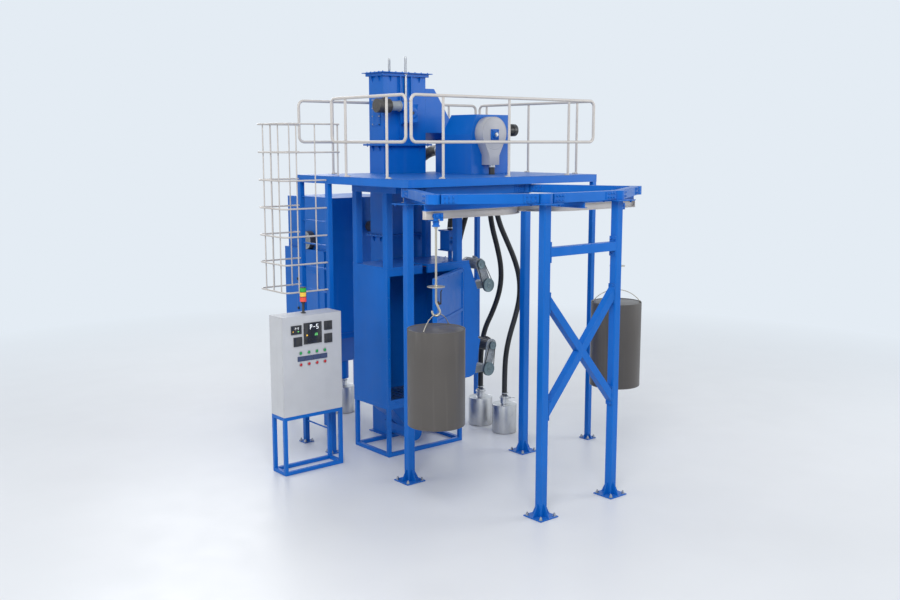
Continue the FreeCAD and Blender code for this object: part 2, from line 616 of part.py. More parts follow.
def anchor_holes(name, x, y):
    """Four holes for anchor bolts, on a square."""
    holes = []
    for ahead in (-1, 1):
        for aside in (-1, 1):
            holes.append(rod("%s_anchor_%d_%d" % (name, ahead + 1, aside + 1), "anchor_hole",
                             "(%s) + %d * anchor_pitch / 2" % (x, ahead),
                             "(%s) + %d * anchor_pitch / 2" % (y, aside), "-5", "plate_thick + 10"))
    return fuse(name + "_anchors", holes)


def make_columns():
    """Four square columns with ribbed foot plates and head plates."""
    columns = []
    for index, name in COLUMN_NAMES.items():
        x, y = CORNERS[index]
        inner = index in (0, 5)
        head = "ring_under - carrier_side - seam" if inner else "ring_under - seam"
        parts = [post(name + "_shaft", x, y, 0, head, "column_side", "column_corner")]
        foot = post(name + "_foot", x, y, 0, "plate_thick", "foot_plate")
        parts.append(cut(name + "_foot_drilled", foot, anchor_holes(name, x, y)))
        parts.append(post(name + "_head", x, y, "%s - plate_thick" % head, head, "foot_plate"))
        for way, (ahead, aside) in {0: (1, 0), 90: (0, 1), 180: (-1, 0), 270: (0, -1)}.items():
            parts.append(rib(
                "%s_rib_%d" % (name, way), "(foot_plate - column_side) / 2 - 8 + 2", "foot_rib_rise",
                "rib_thick", "(%s) + %d * (column_side / 2 - 2)" % (x, ahead),
                "(%s) + %d * (column_side / 2 - 2)" % (y, aside), "plate_thick - 2", way))
        columns.append(fuse(name + "_column", parts))
    node("gantry_columns", columns)


def make_ring():
    """Six beams with bolted side plates, and a round block at each corner."""
    pieces = []
    for index, start in enumerate(CORNERS):
        end = CORNERS[(index + 1) % 6]
        name = "ring_beam_%d" % index
        back_off = "ring_corner_block / 2 + seam"
        bar = beam(name, start, end, "ring_width", "ring_under", "ring_depth", back_off)
        plates = beam(name + "_sides", start, end, "ring_width + 2 * splice_thick",
                      "ring_under + 10", "ring_depth - 20", back_off)
        middle = beam(name + "_bare", start, end, "ring_width * 3", "ring_under - 10",
                      "ring_depth + 20", back_off + " + splice_length")
        pieces.append(fuse(name + "_made", [bar, cut(name + "_splices", plates, middle)]))
        pieces.append(rod("ring_corner_%d" % index, "ring_corner_block / 2", start[0], start[1],
                          "ring_under", "ring_depth"))
    node("ring_beams", pieces)


def make_braces():
    """A level tie and crossed braces between the two outer columns, with end plates."""
    inner = "(outer_pair_reach - column_side / 2 - seam)"
    row = "-outer_column_row"
    pieces = []
    tie_low = ["-%s + plate_thick" % inner, row + " - column_side / 2", "tie_level - column_side / 2"]
    tie_high = ["%s - plate_thick" % inner, row + " + column_side / 2", "tie_level + column_side / 2"]
    parts = [block("level_tie", tie_low, tie_high)]
    for side, sign in (("left", -1), ("right", 1)):
        face = "%d * %s" % (sign, inner)
        back = "%s - %d * plate_thick" % (face, sign)
        west, east = (face, back) if sign < 0 else (back, face)
        parts.append(block("tie_plate_" + side,
                           [west, row + " - column_side / 2", "tie_level - end_plate_high / 2"],
                           [east, row + " + column_side / 2", "tie_level + end_plate_high / 2"]))
    pieces.append(fuse("tie_made", parts))
    drop = "(cross_top - cross_bottom)"
    span = "(2 * %s - 2 * plate_thick)" % inner
    far = "sqrt(%s ^ 2 + %s ^ 2)" % (drop, span)
    tilt = "atan2(%s; %s)" % (drop, span)
    room = block("cross_room",
                 ["-%s + plate_thick" % inner, row + " - column_side", "cross_bottom - 400"],
                 ["%s - plate_thick" % inner, row + " + column_side", "cross_top + 400"])
    bars = []
    for name, start_level, sense in (("falling", "cross_top", 1), ("rising", "cross_bottom", -1)):
        bar = doc.addObject("Part::Box", name + "_brace")
        bind(bar, Length=far + " + 200", Width="cross_side", Height="cross_side")
        lead_x = "100 * %s / %s + %d * cross_side / 2 * %s / %s" % (span, far, sense, drop, far)
        lead_z = "%d * 100 * %s / %s - cross_side / 2 * %s / %s" % (sense, drop, far, span, far)
        put(bar, "-%s + plate_thick - (%s)" % (inner, lead_x), row + " - cross_side / 2",
            "%s + (%s)" % (start_level, lead_z), (0, 1, 0), "%d * %s" % (sense, tilt))
        bars.append(bar)
    trimmed = [overlap(bar.Name + "_cut", bar, room) for bar in bars]
    gap = doc.addObject("Part::Box", "crossing_gap")
    bind(gap, Length=far + " + 200", Width="cross_side + 40", Height="cross_side + 2 * seam")
    shift_x = "100 * %s / %s + (cross_side / 2 + seam) * %s / %s" % (span, far, drop, far)
    shift_z = "100 * %s / %s - (cross_side / 2 + seam) * %s / %s" % (drop, far, span, far)
    put(gap, "-%s + plate_thick - (%s)" % (inner, shift_x), row + " - cross_side / 2 - 20",
        "cross_top + (%s)" % shift_z, (0, 1, 0), tilt)
    halves = cut("rising_halves", trimmed[1], gap)
    plates = []
    for side, sign in (("left", -1), ("right", 1)):
        for level in ("cross_top", "cross_bottom"):
            face = "%d * %s" % (sign, inner)
            back = "%s - %d * (plate_thick - seam)" % (face, sign)
            west, east = (face, back) if sign < 0 else (back, face)
            plates.append(block("%s_plate_%s" % (level, side),
                                [west, row + " - column_side / 2", level + " - end_plate_high / 2"],
                                [east, row + " + column_side / 2", level + " + end_plate_high / 2"]))
    node("gantry_braces", pieces + [trimmed[0], halves] + plates)


def rolled_beam(name, low, high, along):
    """An I-section bar between two corners: two flanges and a web."""
    wide = 1 if along == "x" else 0
    web = "carrier_web"
    foot_high = list(high)
    foot_high[2] = "(%s) + %s" % (low[2], web)
    head_low = list(low)
    head_low[2] = "(%s) - %s" % (high[2], web)
    middle = "((%s) + (%s)) / 2" % (low[wide], high[wide])
    web_low = list(low)
    web_high = list(high)
    web_low[wide] = "%s - %s / 2" % (middle, web)
    web_high[wide] = "%s + %s / 2" % (middle, web)
    return fuse(name, [block(name + "_foot", low, foot_high), block(name + "_head", head_low, high),
                       block(name + "_web", web_low, web_high)])


def make_carriers():
    """Rolled beams under the ring that carry the running rail."""
    half = "carrier_side / 2"
    low, high = "ring_under - carrier_side", "ring_under - seam"
    across = {"arm": ("rail_end_reach", "-rail_row"),
              "column": ("inner_pair_reach + 60", "-inner_column_row")}
    pieces = []
    for name, (reach, row) in across.items():
        pieces.append(rolled_beam(name + "_carrier", ["-(%s)" % reach, "%s - %s" % (row, half), low],
                                  [reach, "%s + %s" % (row, half), high], "x"))
    stops = ["-outer_column_row - %s" % half,
             "-rail_row - %s - seam" % half, "-rail_row + %s + seam" % half,
             "-inner_column_row - %s - seam" % half, "-inner_column_row + %s + seam" % half,
             "trunk_end"]
    for index in range(0, 6, 2):
        pieces.append(rolled_beam("trunk_carrier_%d" % index, ["-" + half, stops[index], low],
                                  [half, stops[index + 1], high], "y"))
    node("rail_carriers", pieces)


def rail_run(name, low_x, high_x, low_y, high_y, along):
    """A straight length of the running rail."""
    top = "ring_under - carrier_side - seam"
    low_z = "%s - rail_depth" % top
    parts = []
    flanges = {"foot": (low_z, low_z + " + rail_flange"), "head": (top + " - rail_flange", top)}
    for part, (bottom, high) in flanges.items():
        parts.append(block("%s_%s" % (name, part), [low_x, low_y, bottom], [high_x, high_y, high]))
    trim = "(rail_width - rail_web) / 2"
    west, east, south, north = low_x, high_x, low_y, high_y
    if along == "x":
        south, north = "%s + %s" % (low_y, trim), "%s - %s" % (high_y, trim)
    else:
        west, east = "%s + %s" % (low_x, trim), "%s - %s" % (high_x, trim)
    parts.append(block(name + "_web", [west, south, low_z], [east, north, top]))
    return fuse(name, parts)


def rail_curve(name, sign):
    """A quarter bend of the running rail, trimmed on the centre line."""
    top = "ring_under - carrier_side - seam"
    low_z = "%s - rail_depth" % top
    layers = {"foot": (low_z, "rail_flange", "rail_width"),
              "head": (top + " - rail_flange", "rail_flange", "rail_width"),
              "web": (low_z, "rail_depth", "rail_web")}
    parts = []
    for part, (bottom, high, wide) in layers.items():
        rings = []
        for side, spread in (("out", 1), ("in", -1)):
            ring = doc.addObject("Part::Cylinder", "%s_%s_%s" % (name, part, side))
            bind(ring, Radius="rail_bend + %d * %s / 2" % (spread, wide), Height=high)
            ring.Angle = 90
            put(ring, "%d * rail_bend" % sign, "-rail_row + rail_bend", bottom, (0, 0, 1),
                180 if sign > 0 else 270)
            rings.append(ring)
        parts.append(cut("%s_%s" % (name, part), rings[0], rings[1]))
    bend = fuse(name + "_full", parts)
    inner, outer = "%d * seam / 2" % sign, "%d * rail_bend" % sign
    west, east = (inner, outer) if sign > 0 else (outer, inner)
    keep = block(name + "_side", [west, "-rail_row - rail_width", low_z + " - 5"],
                 [east, "-rail_row + rail_bend", top + " + 5"])
    return overlap(name, bend, keep)


def make_rail():
    """Two side arms that bend into one trunk, which runs in over the cabinet."""
    half = "rail_width / 2"
    row = "-rail_row"
    start = "rail_bend + seam"
    near, far = row + " - " + half, row + " + " + half
    left = rail_run("left_arm", "-rail_end_reach", "-(%s)" % start, near, far, "x")
    right = rail_run("right_arm", start, "rail_end_reach", near, far, "x")
    trunk = rail_run("trunk", "-" + half, half, "-rail_row + rail_bend + seam", "trunk_end", "y")
    node("running_rail", [left, right, trunk])
    node("rail_bends", [rail_curve("left_bend", -1), rail_curve("right_bend", 1)])


def make_trolley(side, x):
    """A four-roller trolley on the rail's lower flange, with its swivel barrel."""
    rail_low = "(ring_under - carrier_side - seam - rail_depth)"
    yoke_top = rail_low + " - swing_clearance"
    yoke_low = yoke_top + " - yoke_thick"
    west, east = "%s - trolley_long / 2" % x, "%s + trolley_long / 2" % x
    room = "(rail_width / 2 + swing_clearance)"
    plate_top = rail_low + " + rail_flange + 2 * roller_radius + 4"
    roller_z = rail_low + " + rail_flange + roller_radius + seam"
    parts = []
    for hand, sign in (("front", -1), ("back", 1)):
        inner = "-rail_row + %d * %s" % (sign, room)
        outer = "%s + %d * trolley_plate" % (inner, sign)
        south, north = (outer, inner) if sign < 0 else (inner, outer)
        parts.append(block("%s_%s_plate" % (side, hand), [west, south, yoke_low], [east, north, plate_top]))
        roller_y = "-rail_row - %s" % (room if sign < 0 else "(-rail_web / 2 - roller_gap)")
        axle_y = "%s - axle_proud" % south if sign < 0 else inner
        for step in (-1, 1):
            label = "%s_%s_%%s_%d" % (side, hand, step + 1)
            roller_x = "%s + %d * trolley_long * 0.27" % (x, step)
            parts.append(rod(label % "roller", "roller_radius", roller_x, roller_y, roller_z,
                             "(rail_width - rail_web) / 2 + swing_clearance - roller_gap", "y"))
            parts.append(rod(label % "axle", "roller_radius * 0.42", roller_x, axle_y, roller_z,
                             "trolley_plate + axle_proud", "y"))
    parts.append(block(side + "_yoke", [west, "-rail_row - %s - 4" % room, yoke_low],
                       [east, "-rail_row + %s + 4" % room, yoke_top]))
    barrel_low = yoke_low + " - swivel_high"
    parts.append(rod(side + "_barrel", "swivel_radius", x, "-rail_row", barrel_low, "swivel_high + 4"))
    parts.append(rod(side + "_barrel_foot", "swivel_radius + swivel_rim", x, "-rail_row", barrel_low,
                     "swivel_rim_high"))
    node(side + "_trolley", [fuse(side + "_trolley_made", parts)])


def make_hook(side, x, hook_turn):
    """The hanger rod with its guard disc and open hook, turning under the trolley."""
    rail_low = "ring_under - carrier_side - seam - rail_depth"
    rod_top = "(%s - swing_clearance - yoke_thick - swivel_high - seam)" % rail_low
    bend, centre = value("hook_bend"), value("hook_centre")
    knee = centre + 2.4 * bend
    tangent = math.acos(bend / (knee - centre))
    touch = math.pi / 2 - tangent

    def at(across, level):
        return FreeCAD.Vector(across, 0, level)

    start = at(bend * math.cos(touch), centre + bend * math.sin(touch))
    lowest = at(0, centre - bend)
    tip = at(bend * math.cos(math.radians(165)), centre + bend * math.sin(math.radians(165)))
    lead = [at(0, value(rod_top) - 4), at(0, knee), start]
    turn = rounded_path([at(0, knee + 40), lead[1], lead[2]], [60])
    sweep = Part.Wire(turn.Edges + [Part.Arc(start, lowest, tip).toShape()])
    bent = tube_along(sweep, value("rod_radius"))
    shank = Part.makeCylinder(value("rod_radius"), value(rod_top) - knee - 40, at(0, knee + 40))
    collar = Part.makeCylinder(value("rod_radius") * 1.9, 10, at(0, value(rod_top) - 10))
    disc = Part.makeCylinder(value("guard_disc_radius"), value("guard_disc_thick"),
                             at(0, value("guard_disc_level")))
    hook = solid_node(side + "_hook", bent.fuse([shank, collar, disc]).removeSplitter())
    put(hook, x, "-rail_row", 0, (0, 0, 1), hook_turn)


def make_drum(side, x, bail_turn):
    """The closed drum that hangs on the hook by its wire bail."""
    drum = rod(side + "_drum_body", "drum_radius", x, "-rail_row", "drum_bottom", "drum_top - drum_bottom")
    top = value("drum_top") + value("seam")
    seat = value("hook_centre - hook_bend + rod_radius + bail_radius + seam")
    reach = value("bail_reach")
    feet = [FreeCAD.Vector(sign * reach, 0, top) for sign in (-1, 1)]
    arch = Part.Wire([Part.Arc(feet[0], FreeCAD.Vector(0, 0, seat), feet[1]).toShape()])
    wire = tube_along(arch, value("bail_radius"))
    floor = Part.makeBox(4 * reach, 4 * reach, 200, FreeCAD.Vector(-2 * reach, -2 * reach, top - 200))
    wire = wire.cut(floor)
    bail = doc.addObject("Part::Feature", side + "_bail")
    bail.Shape = wire
    put(bail, x, "-rail_row", 0, (0, 0, 1), bail_turn)
    node(side + "_drum", [drum, bail])


FRONT = "-base_tube / 2"
BACK = "(cabinet_deep - base_tube / 2)"


def make_base_frame():
    """Square tubes under the cabinet: four legs and two rings of rails."""
    side = "base_tube"
    west, east = "-cabinet_left", "cabinet_right"
    pieces = []
    for column, x in (("left", "%s + %s / 2" % (west, side)), ("right", "%s - %s / 2" % (east, side))):
        for row, y in (("front", "%s + %s / 2" % (FRONT, side)), ("back", "%s - %s / 2" % (BACK, side))):
            pieces.append(post("%s_%s_leg" % (column, row), x, y, 0, "base_high", side))
    for level, low in (("foot", "0"), ("head", "base_high - %s" % side)):
        for row, y in (("front", FRONT), ("back", BACK + " - " + side)):
            pieces.append(block("%s_%s_rail" % (level, row), ["%s + %s + seam" % (west, side), y, low],
                                ["%s - %s - seam" % (east, side), "%s + %s" % (y, side), low + " + " + side]))
        for column, x in (("left", west), ("right", east + " - " + side)):
            pieces.append(block("%s_%s_rail" % (level, column), [x, "%s + %s + seam" % (FRONT, side), low],
                                [x + " + " + side, "%s - %s - seam" % (BACK, side), low + " + " + side]))
    node("foot_frame", pieces)


def make_cabinet():
    """Walls, roof and door frame of the blast cabinet, as plates that meet at seams."""
    west, east = "-cabinet_left", "cabinet_right"
    low, top = "base_high + seam", "cabinet_top"
    roof_low = "cabinet_top - wall_thick"
    thick = "wall_thick"
    walls = {
        "left_wall": ([west, FRONT + " + wall_thick + seam", low],
                      ["%s + %s" % (west, thick), BACK + " - wall_thick - seam", roof_low + " - seam"]),
        "right_wall": (["%s - %s" % (east, thick), FRONT + " + wall_thick + seam", low],
                       [east, BACK + " - wall_thick - seam", roof_low + " - seam"]),
        "back_wall": ([west, BACK + " - wall_thick", low], [east, BACK, roof_low + " - seam"]),
    }
    shell = [block(name, *corners) for name, corners in walls.items()]
    slot = "slot_wide / 2"
    slot_end = "(%s + slot_deep)" % FRONT
    shell += [
        block("roof_left", [west, FRONT, roof_low], ["-" + slot, slot_end, top]),
        block("roof_right", [slot, FRONT, roof_low], ["pocket_top_out", slot_end, top]),
        block("roof_back", [west, slot_end + " + seam", roof_low], ["pocket_top_out", BACK, top])]
    node("cabinet_shell", shell)
    inner_west, inner_east = "%s + jamb_left" % west, "%s - jamb_right" % east
    door_foot, door_head = "base_high + sill_high", "cabinet_top - header_high"
    near, far = FRONT, FRONT + " + wall_thick"
    head = roof_low + " - seam"
    frame = [
        block("left_jamb", [west, near, low], [inner_west, far, head]),
        block("right_jamb", [inner_east, near, low], [east, far, head]),
        block("sill", [inner_west + " + seam", near, low], [inner_east + " - seam", far, door_foot]),
        block("header_left", [inner_west + " + seam", near, door_head], ["-" + slot, far, head]),
        block("header_right", [slot, near, door_head], [inner_east + " - seam", far, head]),
    ]
    node("door_frame", frame + make_hinges("fixed_hinge", False))
    liner_top = roof_low + " - seam"
    liner = [block("liner_" + name, [a, FRONT + " + wall_thick + seam * 2", liner_top + " - liner_thick"],
                   [b, BACK + " - wall_thick - seam * 2", liner_top])
             for name, a, b in (("left", west + " + wall_thick + seam * 2", "-" + slot),
                                ("right", slot, east + " - wall_thick - seam * 2"))]
    node("ceiling_liner", liner)


def hopper_sheets(mouth):
    """Four flat sheets, mitred at the corners, that slope from a mouth down to a square outlet."""
    west, east, south, north = mouth
    half, thick, gap = value("hopper_outlet") / 2, value("sheet_thick"), value("seam")
    middle_x, middle_y = (west + east) / 2, (south + north) / 2
    levels = [(value("base_high") - value("hopper_mouth_drop"),
               (middle_x - half, middle_x + half, middle_y - half, middle_y + half)),
              (value("base_high"), (west, east, south, north))]
    sheets = []
    for side in ("west", "east", "south", "north"):
        rims = []
        for level, (left, right, near, far) in levels:
            if side in ("west", "east"):
                edge, inner = (left, left + thick) if side == "west" else (right, right - thick)
                corners = [(edge, near + gap), (edge, far - gap),
                           (inner, far - thick - gap), (inner, near + thick + gap)]
            else:
                edge, inner = (near, near + thick) if side == "south" else (far, far - thick)
                corners = [(left, edge), (right, edge), (right - thick, inner), (left + thick, inner)]
            places = [FreeCAD.Vector(x, y, level) for x, y in corners]
            rims.append(Part.makePolygon(places + places[:1]))
        sheets.append(Part.makeLoft(rims, True, True))
    return sheets


def make_floor():
    """The slotted floor, and the hopper and screw trough that collect the shot."""
    body = doc.addObject("PartDesign::Body", "grate_body")
    west, east = "-cabinet_left + wall_thick + 2 * seam", "cabinet_right - wall_thick - 2 * seam"
    south, north = FRONT + " + wall_thick + 2 * seam", BACK + " - wall_thick - 2 * seam"
    sketch = outline(body, "xy", [(west, south), (east, south), (east, north), (west, north)])
    pad = body.newObject("PartDesign::Pad", "grate_plate")
    pad.Profile = sketch
    bind(pad, Length="grate_thick")
    first = west + " + grate_pitch / 2"
    last = first + " + grate_slot"
    foot, head = south + " + grate_edge", north + " - grate_edge"
    slot = outline(body, "xy", [(first, foot), (last, foot), (last, head), (first, head)], "slot")
    pocket = body.newObject("PartDesign::Pocket", "grate_slot_cut")
    pocket.Profile = slot
    pocket.Type = "ThroughAll"
    pocket.Reversed = True
    row = body.newObject("PartDesign::LinearPattern", "grate_slots")
    row.Originals = [pocket]
    row.Direction = (slot, ["H_Axis"])
    row.Occurrences = int((value(east) - value(west)) // value("grate_pitch"))
    bind(row, Length="grate_pitch * %d" % (row.Occurrences - 1))
    body.Tip = row
    put(body, 0, 0, "base_high + seam")
    node("slotted_floor", [body])
    side = "base_tube"
    mouth = ["-cabinet_left + %s + seam" % side, "cabinet_right - %s - seam" % side,
             FRONT + " + %s + seam" % side, BACK + " - %s - seam" % side]
    solid_node("collecting_hopper", Part.makeCompound(hopper_sheets([value(edge) for edge in mouth])))
    outlet_x = "((%s) + (%s)) / 2" % (mouth[0], mouth[1])
    outlet_y = "((%s) + (%s)) / 2" % (mouth[2], mouth[3])
    trough_top = "base_high - hopper_mouth_drop - seam"
    trough = block("trough_box", [outlet_x + " - hopper_outlet / 2", outlet_y + " - hopper_outlet / 2 - 40",
                                  "%s - trough_high / 2" % trough_top],
                   [outlet_x + " + hopper_outlet / 2", "elevator_front - flange_reach - seam", trough_top])
    round_foot = rod("trough_round", "hopper_outlet / 2", outlet_x, outlet_y + " - hopper_outlet / 2 - 40",
                     "%s - trough_high / 2" % trough_top,
                     "elevator_front - flange_reach - seam - (%s - hopper_outlet / 2 - 40)" % outlet_y, "y")
    round_foot.Angle = 180
    node("screw_trough", [fuse("trough_made", [trough, round_foot])])


def make_pockets():
    """The slanted housings on the right side that the two blast wheels fire through."""
    near, far = FRONT, BACK
    east = "cabinet_right + seam"
    points = [
        (east, "pocket_lower_foot - 30"), ("pocket_lower_in - 100", "pocket_lower_foot - 30"),
        ("pocket_lower_in", "pocket_lower_foot"), ("pocket_lower_out", "pocket_lower_top"),
        ("pocket_upper_out", "pocket_waist_foot"), ("pocket_waist_out", "pocket_waist_top"),
        ("pocket_upper_out", "pocket_upper_foot"), ("pocket_top_out", "cabinet_top - wall_thick - seam"),
        (east, "cabinet_top - wall_thick - seam"),
    ]
    node("wheel_pockets", [prism("pocket_body", "xz", points, near, far)])


def make_hinges(label, moving):
    """Hinge barrels; each is a fixed lower part and a leaf's upper part round one pin."""
    pieces = []
    for index, level in enumerate(("door_bottom + 190", "(door_bottom + door_top) / 2", "door_top - 190")):
        half = "hinge_long / 2"
        name = "%s_%d" % (label, index)
        low = "%s + seam" % level if moving else "%s - %s" % (level, half)
        high = "%s + %s" % (level, half) if moving else level
        barrel = rod(name + "_barrel", "hinge_radius", "hinge_right", "-hinge_row", low,
                     "(%s) - (%s)" % (high, low))
        if moving:
            arm = block(name + "_arm", ["hinge_right - hinge_radius - 10", "-hinge_row - 7", low],
                        ["hinge_right", "-hinge_row + 7", high])
            hole = rod(name + "_hole", "hinge_pin + seam", "hinge_right", "-hinge_row", "%s - 5" % low,
                       "hinge_long + 10")
            pieces.append(cut(name + "_made", fuse(name + "_solid", [barrel, arm]), hole))
        else:
            arm = block(name + "_arm", ["hinge_right - 9", "-hinge_row", low],
                        ["hinge_right + 9", FRONT + " - seam", high])
            pin = rod(name + "_pin", "hinge_pin", "hinge_right", "-hinge_row", low, "hinge_long - 6")
            pieces.append(fuse(name + "_made", [barrel, arm, pin]))
    return pieces


def make_door():
    """The single leaf, a stiffened box that stands open at rest."""
    east = "hinge_right - hinge_radius - swing_clearance"
    west = "%s - door_wide" % east
    back = FRONT + " - swing_clearance"
    front = "%s - door_thick" % back
    skin = front + " + leaf_rib_proud"
    root = skin + " + 6"
    parts = [block("leaf_box", [west, skin, "door_bottom"], [east, back, "door_top"])]
    third = "(door_top - door_bottom) / 3"
    ribs = {
        "foot": ("door_bottom", "door_bottom + leaf_border"),
        "head": ("door_top - leaf_border", "door_top"),
        "lower": ("door_bottom + %s - leaf_rib / 2" % third, "door_bottom + %s + leaf_rib / 2" % third),
        "upper": ("door_top - %s - leaf_rib / 2" % third, "door_top - %s + leaf_rib / 2" % third),
    }
    for name, (low, high) in ribs.items():
        parts.append(block("leaf_rib_" + name, [west, front, low], [east, root, high]))
    for name, low, high in (("free", west, west + " + leaf_border"), ("hung", east + " - leaf_border", east)):
        parts.append(block("leaf_stile_" + name, [low, front, "door_bottom"], [high, root, "door_top"]))
    parts += make_hinges("leaf_hinge", True)
    closed = fuse("leaf_closed", parts)
    leaf_set = doc.addObject("Part::Compound", "leaf_set")
    leaf_set.Links = [closed]
    cosine, sine = "cos(door_open * 1 deg)", "sin(door_open * 1 deg)"
    put(leaf_set, "hinge_right - (hinge_right * %s + hinge_row * %s)" % (cosine, sine),
        "-hinge_row - (hinge_right * %s - hinge_row * %s)" % (sine, cosine), 0, (0, 0, 1), "door_open")
    node("blast_door", [leaf_set])


def belt_loop(wheel, motor, wheel_radius, motor_radius):
    """The outline of a belt round two pulleys, as a wire in its own plane."""
    across = FreeCAD.Vector(motor[0] - wheel[0], 0, motor[1] - wheel[1])
    lean = math.atan2(across.z, across.x)
    open_half = math.acos((wheel_radius - motor_radius) / across.Length)

    def at(centre, radius, angle):
        return FreeCAD.Vector(centre[0] + radius * math.cos(angle), 0, centre[1] + radius * math.sin(angle))

    corners = [at(wheel, wheel_radius, lean + open_half), at(wheel, wheel_radius, lean - open_half),
               at(motor, motor_radius, lean - open_half), at(motor, motor_radius, lean + open_half)]
    edges = [Part.Arc(corners[0], at(wheel, wheel_radius, lean + math.pi), corners[1]).toShape(),
             Part.LineSegment(corners[1], corners[2]).toShape(),
             Part.Arc(corners[2], at(motor, motor_radius, lean), corners[3]).toShape(),
             Part.LineSegment(corners[3], corners[0]).toShape()]
    return Part.Wire(edges)


def pulley(label, radius, x, z, shaft_end):
    """A grooved pulley with a dished face, keyed on the shaft that turns with it."""
    hub, rim = "shaft_radius - 2", "%s - 16 - groove_deep" % radius
    low, high = "(pulley_wide - groove_wide) / 2", "(pulley_wide + groove_wide) / 2"
    points = [
        (hub, "0"), (radius, "0"), (radius, low), ("%s - groove_deep" % radius, "%s + 2" % low),
        ("%s - groove_deep" % radius, "%s - 2" % high), (radius, high), (radius, "pulley_wide"),
        (rim, "pulley_wide"), (rim, "pulley_wide - 5"), ("shaft_radius + 14", "pulley_wide - 5"),
        ("shaft_radius + 14", "pulley_wide"), (hub, "pulley_wide"),
    ]
    body = turned(label + "_body", points)
    put(body, x, "-pulley_front + pulley_wide", z, (1, 0, 0), 90)
    shaft = rod(label + "_shaft", "shaft_radius", x, "-pulley_front - 6", z,
                "pulley_front + 6 + (%s)" % shaft_end, "y")
    node(label, [fuse(label + "_made", [body, shaft])])


def make_drives():
    """Two belt drives beside the wheel pockets: plate, motor, bearing, pulleys and belt."""
    plate_low = "-pulley_front + pulley_wide + swing_clearance"
    plate_high = "%s + drive_plate_thick" % plate_low
    housings, motors, belts = [], [], []
    for name, sheave, body_radius in (("upper", "upper_pulley_radius", "upper_motor_radius"),
                                      ("lower", "lower_pulley_radius", "lower_motor_radius")):
        wheel_x, wheel_z = name + "_wheel_x", name + "_wheel_z"
        motor_x, motor_z = name + "_motor_x", name + "_motor_z"
        wheel, motor = (value(wheel_x), value(wheel_z)), (value(motor_x), value(motor_z))
        face = Part.Face(belt_loop(wheel, motor, value("bearing_radius + plate_margin"),
                                   value(body_radius + " + plate_margin / 2")))
        plate = doc.addObject("Part::Feature", name + "_drive_plate")
        plate.Shape = face.extrude(FreeCAD.Vector(0, value("drive_plate_thick"), 0))
        put(plate, 0, plate_low, 0)
        boss = rod(name + "_bearing", "bearing_radius", wheel_x, "(%s) - 2" % plate_high, wheel_z,
                   "bearing_long + 2", "y")
        half = "(bearing_radius - 6)"
        arm = block(name + "_bracket",
                    ["cabinet_right + seam", "(%s) + 50" % plate_high, wheel_z + " - " + half],
                    [wheel_x, "(%s) + 150" % plate_high, wheel_z + " + " + half])
        bare = cut(name + "_bracket_seated", arm, grown_pocket(name))
        holes = fuse(name + "_shaft_holes", [
            rod(name + "_wheel_hole", "shaft_radius + seam", wheel_x, plate_low + " - 5", wheel_z,
                "drive_plate_thick + shaft_seat + 10", "y"),
            rod(name + "_motor_hole", "shaft_radius + 12", motor_x, plate_low + " - 5", motor_z,
                "drive_plate_thick + 10", "y")])
        housings.append(cut(name + "_housing", fuse(name + "_housing_solid", [plate, boss, bare]), holes))
        can = rod(name + "_motor_can", body_radius, motor_x, "(%s) + seam" % plate_high, motor_z,
                  "drive_motor_long", "y")
        cowl = rod(name + "_motor_cowl", "%s + cowl_proud" % body_radius, motor_x,
                   "(%s) + drive_motor_long * 0.8" % plate_high, motor_z, "drive_motor_long * 0.2", "y")
        motors.append(fuse(name + "_motor_made", [can, cowl]))
        pulley(name + "_wheel_pulley", "wheel_pulley_radius", wheel_x, wheel_z, plate_high + " + shaft_seat")
        pulley(name + "_motor_pulley", sheave, motor_x, motor_z, plate_high)
        loops = []
        for offset in ("belt_thick", "0"):
            base = " - groove_deep + 1 + " + offset
            wire = belt_loop(wheel, motor, value("wheel_pulley_radius" + base), value(sheave + base))
            loops.append(Part.Face(wire).extrude(FreeCAD.Vector(0, value("belt_wide"), 0)))
        belt = doc.addObject("Part::Feature", name + "_belt")
        belt.Shape = loops[0].cut(loops[1])
        put(belt, 0, "-pulley_front + (pulley_wide - belt_wide) / 2", 0)
        belts.append(belt)
    node("drive_housings", housings)
    node("drive_motors", motors)
    node("drive_belts", belts)


def grown_pocket(name):
    """The wheel pockets with a seam's room round them, to trim what seats on them."""
    west = "cabinet_right - 40"
    points = [
        (west, "pocket_lower_foot - 31"), ("pocket_lower_in - 100 + seam", "pocket_lower_foot - 31"),
        ("pocket_lower_in + seam", "pocket_lower_foot"), ("pocket_lower_out + seam", "pocket_lower_top"),
        ("pocket_upper_out + seam", "pocket_waist_foot"), ("pocket_waist_out + seam", "pocket_waist_top"),
        ("pocket_upper_out + seam", "pocket_upper_foot"),
        ("pocket_top_out + seam", "cabinet_top - wall_thick - seam"),
        ("pocket_top_out + seam", "cabinet_top"), (west, "cabinet_top"),
    ]
    return prism(name + "_pocket_room", "xz", points, FRONT, BACK)


